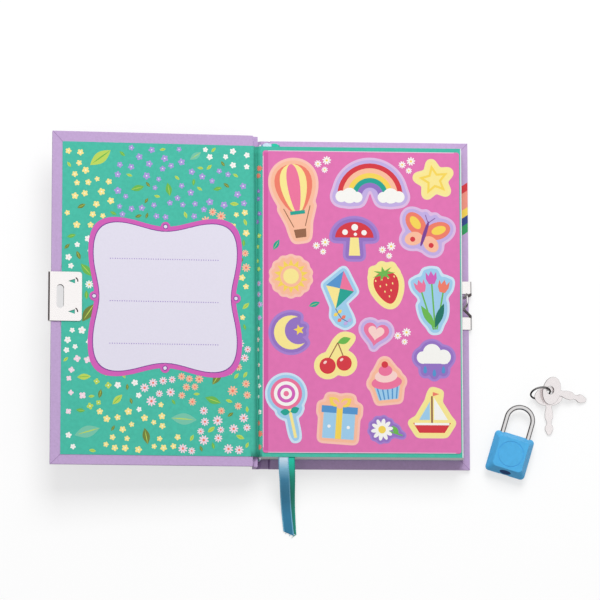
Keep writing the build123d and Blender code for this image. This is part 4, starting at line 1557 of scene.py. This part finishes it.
def mitre_shapes(left, right, paste_left, paste_right):
    """Fine lines where the turned-in paper meets at the corners."""
    shapes = []
    for along, paste in ((HALF_HEIGHT, PAGE_HEAD), (-HALF_HEIGHT, PAGE_TAIL)):
        for across, inner in ((left, paste_left), (right, paste_right)):
            if across is not None:
                shapes.append((stroke((inner, paste), (across, along), MITRE_WIDTH), "crease", 1))
    return shapes


def add_end_bands():
    """Sewn end bands: a bead of two-coloured stitches on a woven tab."""
    for name, node, edge, side in END_BANDS:
        vertices = []
        faces = []
        picks = []
        rows = BAND_STITCHES * BAND_ROWS
        for row in range(rows + 1):
            height = BAND_LOW + (BAND_HIGH - BAND_LOW) * row / rows
            radius = BAND_RADIUS - BAND_DIP * (1 - abs(math.sin(math.pi * row / BAND_ROWS)))
            for corner in range(BAND_SIDES):
                angle = 2 * math.pi * corner / BAND_SIDES
                x = BAND_X + radius * math.cos(angle)
                vertices.append((x, edge + side * BAND_RADIUS + radius * math.sin(angle), height))
        for row in range(rows):
            for corner in range(BAND_SIDES):
                after = (corner + 1) % BAND_SIDES
                low = row * BAND_SIDES
                faces.append((low + corner, low + after, low + BAND_SIDES + after, low + BAND_SIDES + corner))
                picks.append(row // BAND_ROWS % 2)
        faces.append(tuple(range(BAND_SIDES))[::-1])
        faces.append(tuple(rows * BAND_SIDES + corner for corner in range(BAND_SIDES)))
        picks += [0, 0]
        first = len(vertices)
        ring = (0, 2, 3, 1)
        for step in range(TAB_STEPS + 1):
            along = edge + side * (BAND_RADIUS - (BAND_RADIUS + TAB_REACH) * step / TAB_STEPS)
            weave = TAB_WEAVE * (step % 2)
            for x in (TAB_X - TAB_OUTSIDE - weave, TAB_X + TAB_INSIDE):
                for height in (BAND_LOW, BAND_HIGH):
                    vertices.append((x, along, height))
        for step in range(TAB_STEPS):
            near = first + 4 * step
            for start, end in zip(ring, ring[1:] + ring[:1]):
                faces.append((near + start, near + end, near + 4 + end, near + 4 + start))
                picks.append(0)
        faces.append((first, first + 1, first + 3, first + 2))
        faces.append(tuple(first + 4 * TAB_STEPS + corner for corner in ring))
        picks += [0, 0]
        band = mesh_object(name, vertices, faces, [band_cloth, inks["thread"]])
        paint_faces(band, picks)
        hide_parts(node)
        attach(band, "book")


bpy.context.scene.view_settings.view_transform = "Standard"
add_camera()
add_world()
add_lamp()
add_floor()
finish_nodes()
for name, width, segments in EDGE_ROUNDS:
    soften(name, width, segments)
add_ribbons()
add_folds()
inside_cover = cover_place()
add_print("endpaper_flowers", scatter_shapes(), inside_cover, "front_cover")
add_print("label", label_shapes(), inside_cover, "front_cover")
front_turn_in = inside_cover @ Matrix.Translation((0, 0, TURN_IN_DROP))
front_mitres = mitre_shapes(-COVER_REACH, None, -PASTE_REACH, None)
add_print("front_mitres", front_mitres, front_turn_in, "front_cover")
sheet_face = Matrix.Translation((0, 0, SHEET_TOP))
add_print("stickers", sticker_shapes(), sheet_face, "front_leaf")
add_print("sheet_edge", edge_shapes(), sheet_face, "front_leaf")
back_lip = Matrix.Translation((0, 0, BACK_LIP))
add_print("edge_stripes", stripe_shapes(), back_lip, "book")
fore_side = Matrix(((0, 0, 1, FORE_EDGE), (1, 0, 0, 0), (0, 1, 0, 0), (0, 0, 0, 1)))
add_print("edge_stripes_side", stripe_edge_shapes(), fore_side, "book")
back_mitres = mitre_shapes(None, FORE_EDGE, None, FORE_EDGE - BACK_PASTE_MARGIN)
add_print("back_mitres", back_mitres, back_lip, "book")
# painted shade: a dark oval where the keyhole's mouth would show on the slope
mouth = [(moved(oval(*MOUTH_REACH), 0, MOUTH_RISE), "deep_blue", 1)]
add_print("keyhole_painted_shade", mouth, lock_slope(), "book")
# painted shade by the prongs and painted dark reflection along the clasp's bend
clasp_spots = cover_spots(inside_cover, "front_clasp")
clasp_bend = min(spot.x for spot in clasp_spots)
clasp_face = inside_cover @ Matrix.Translation((0, 0, max(spot.z for spot in clasp_spots)))
add_print("clasp_painted_shade_and_reflection", clasp_painted_shapes(clasp_bend), clasp_face, "front_cover")
outer_depth = min(spot.z for spot in cover_spots(inside_cover, "front_wrap"))
outside = inside_cover @ Matrix.Translation((0, 0, outer_depth)) @ Matrix.Rotation(math.pi, 4, "Y")
add_print("cover_stars", star_shapes(), outside, "front_cover")
raw_edge = [(box(LEAF_EDGE - RAW_WIDTH, LEAF_EDGE, PAGE_TAIL, PAGE_HEAD), "raw_edge", 1)]
add_print("leaf_edge", raw_edge, Matrix.Translation((0, 0, LEAF_TOP)), "front_leaf")
add_springs()
add_end_bands()
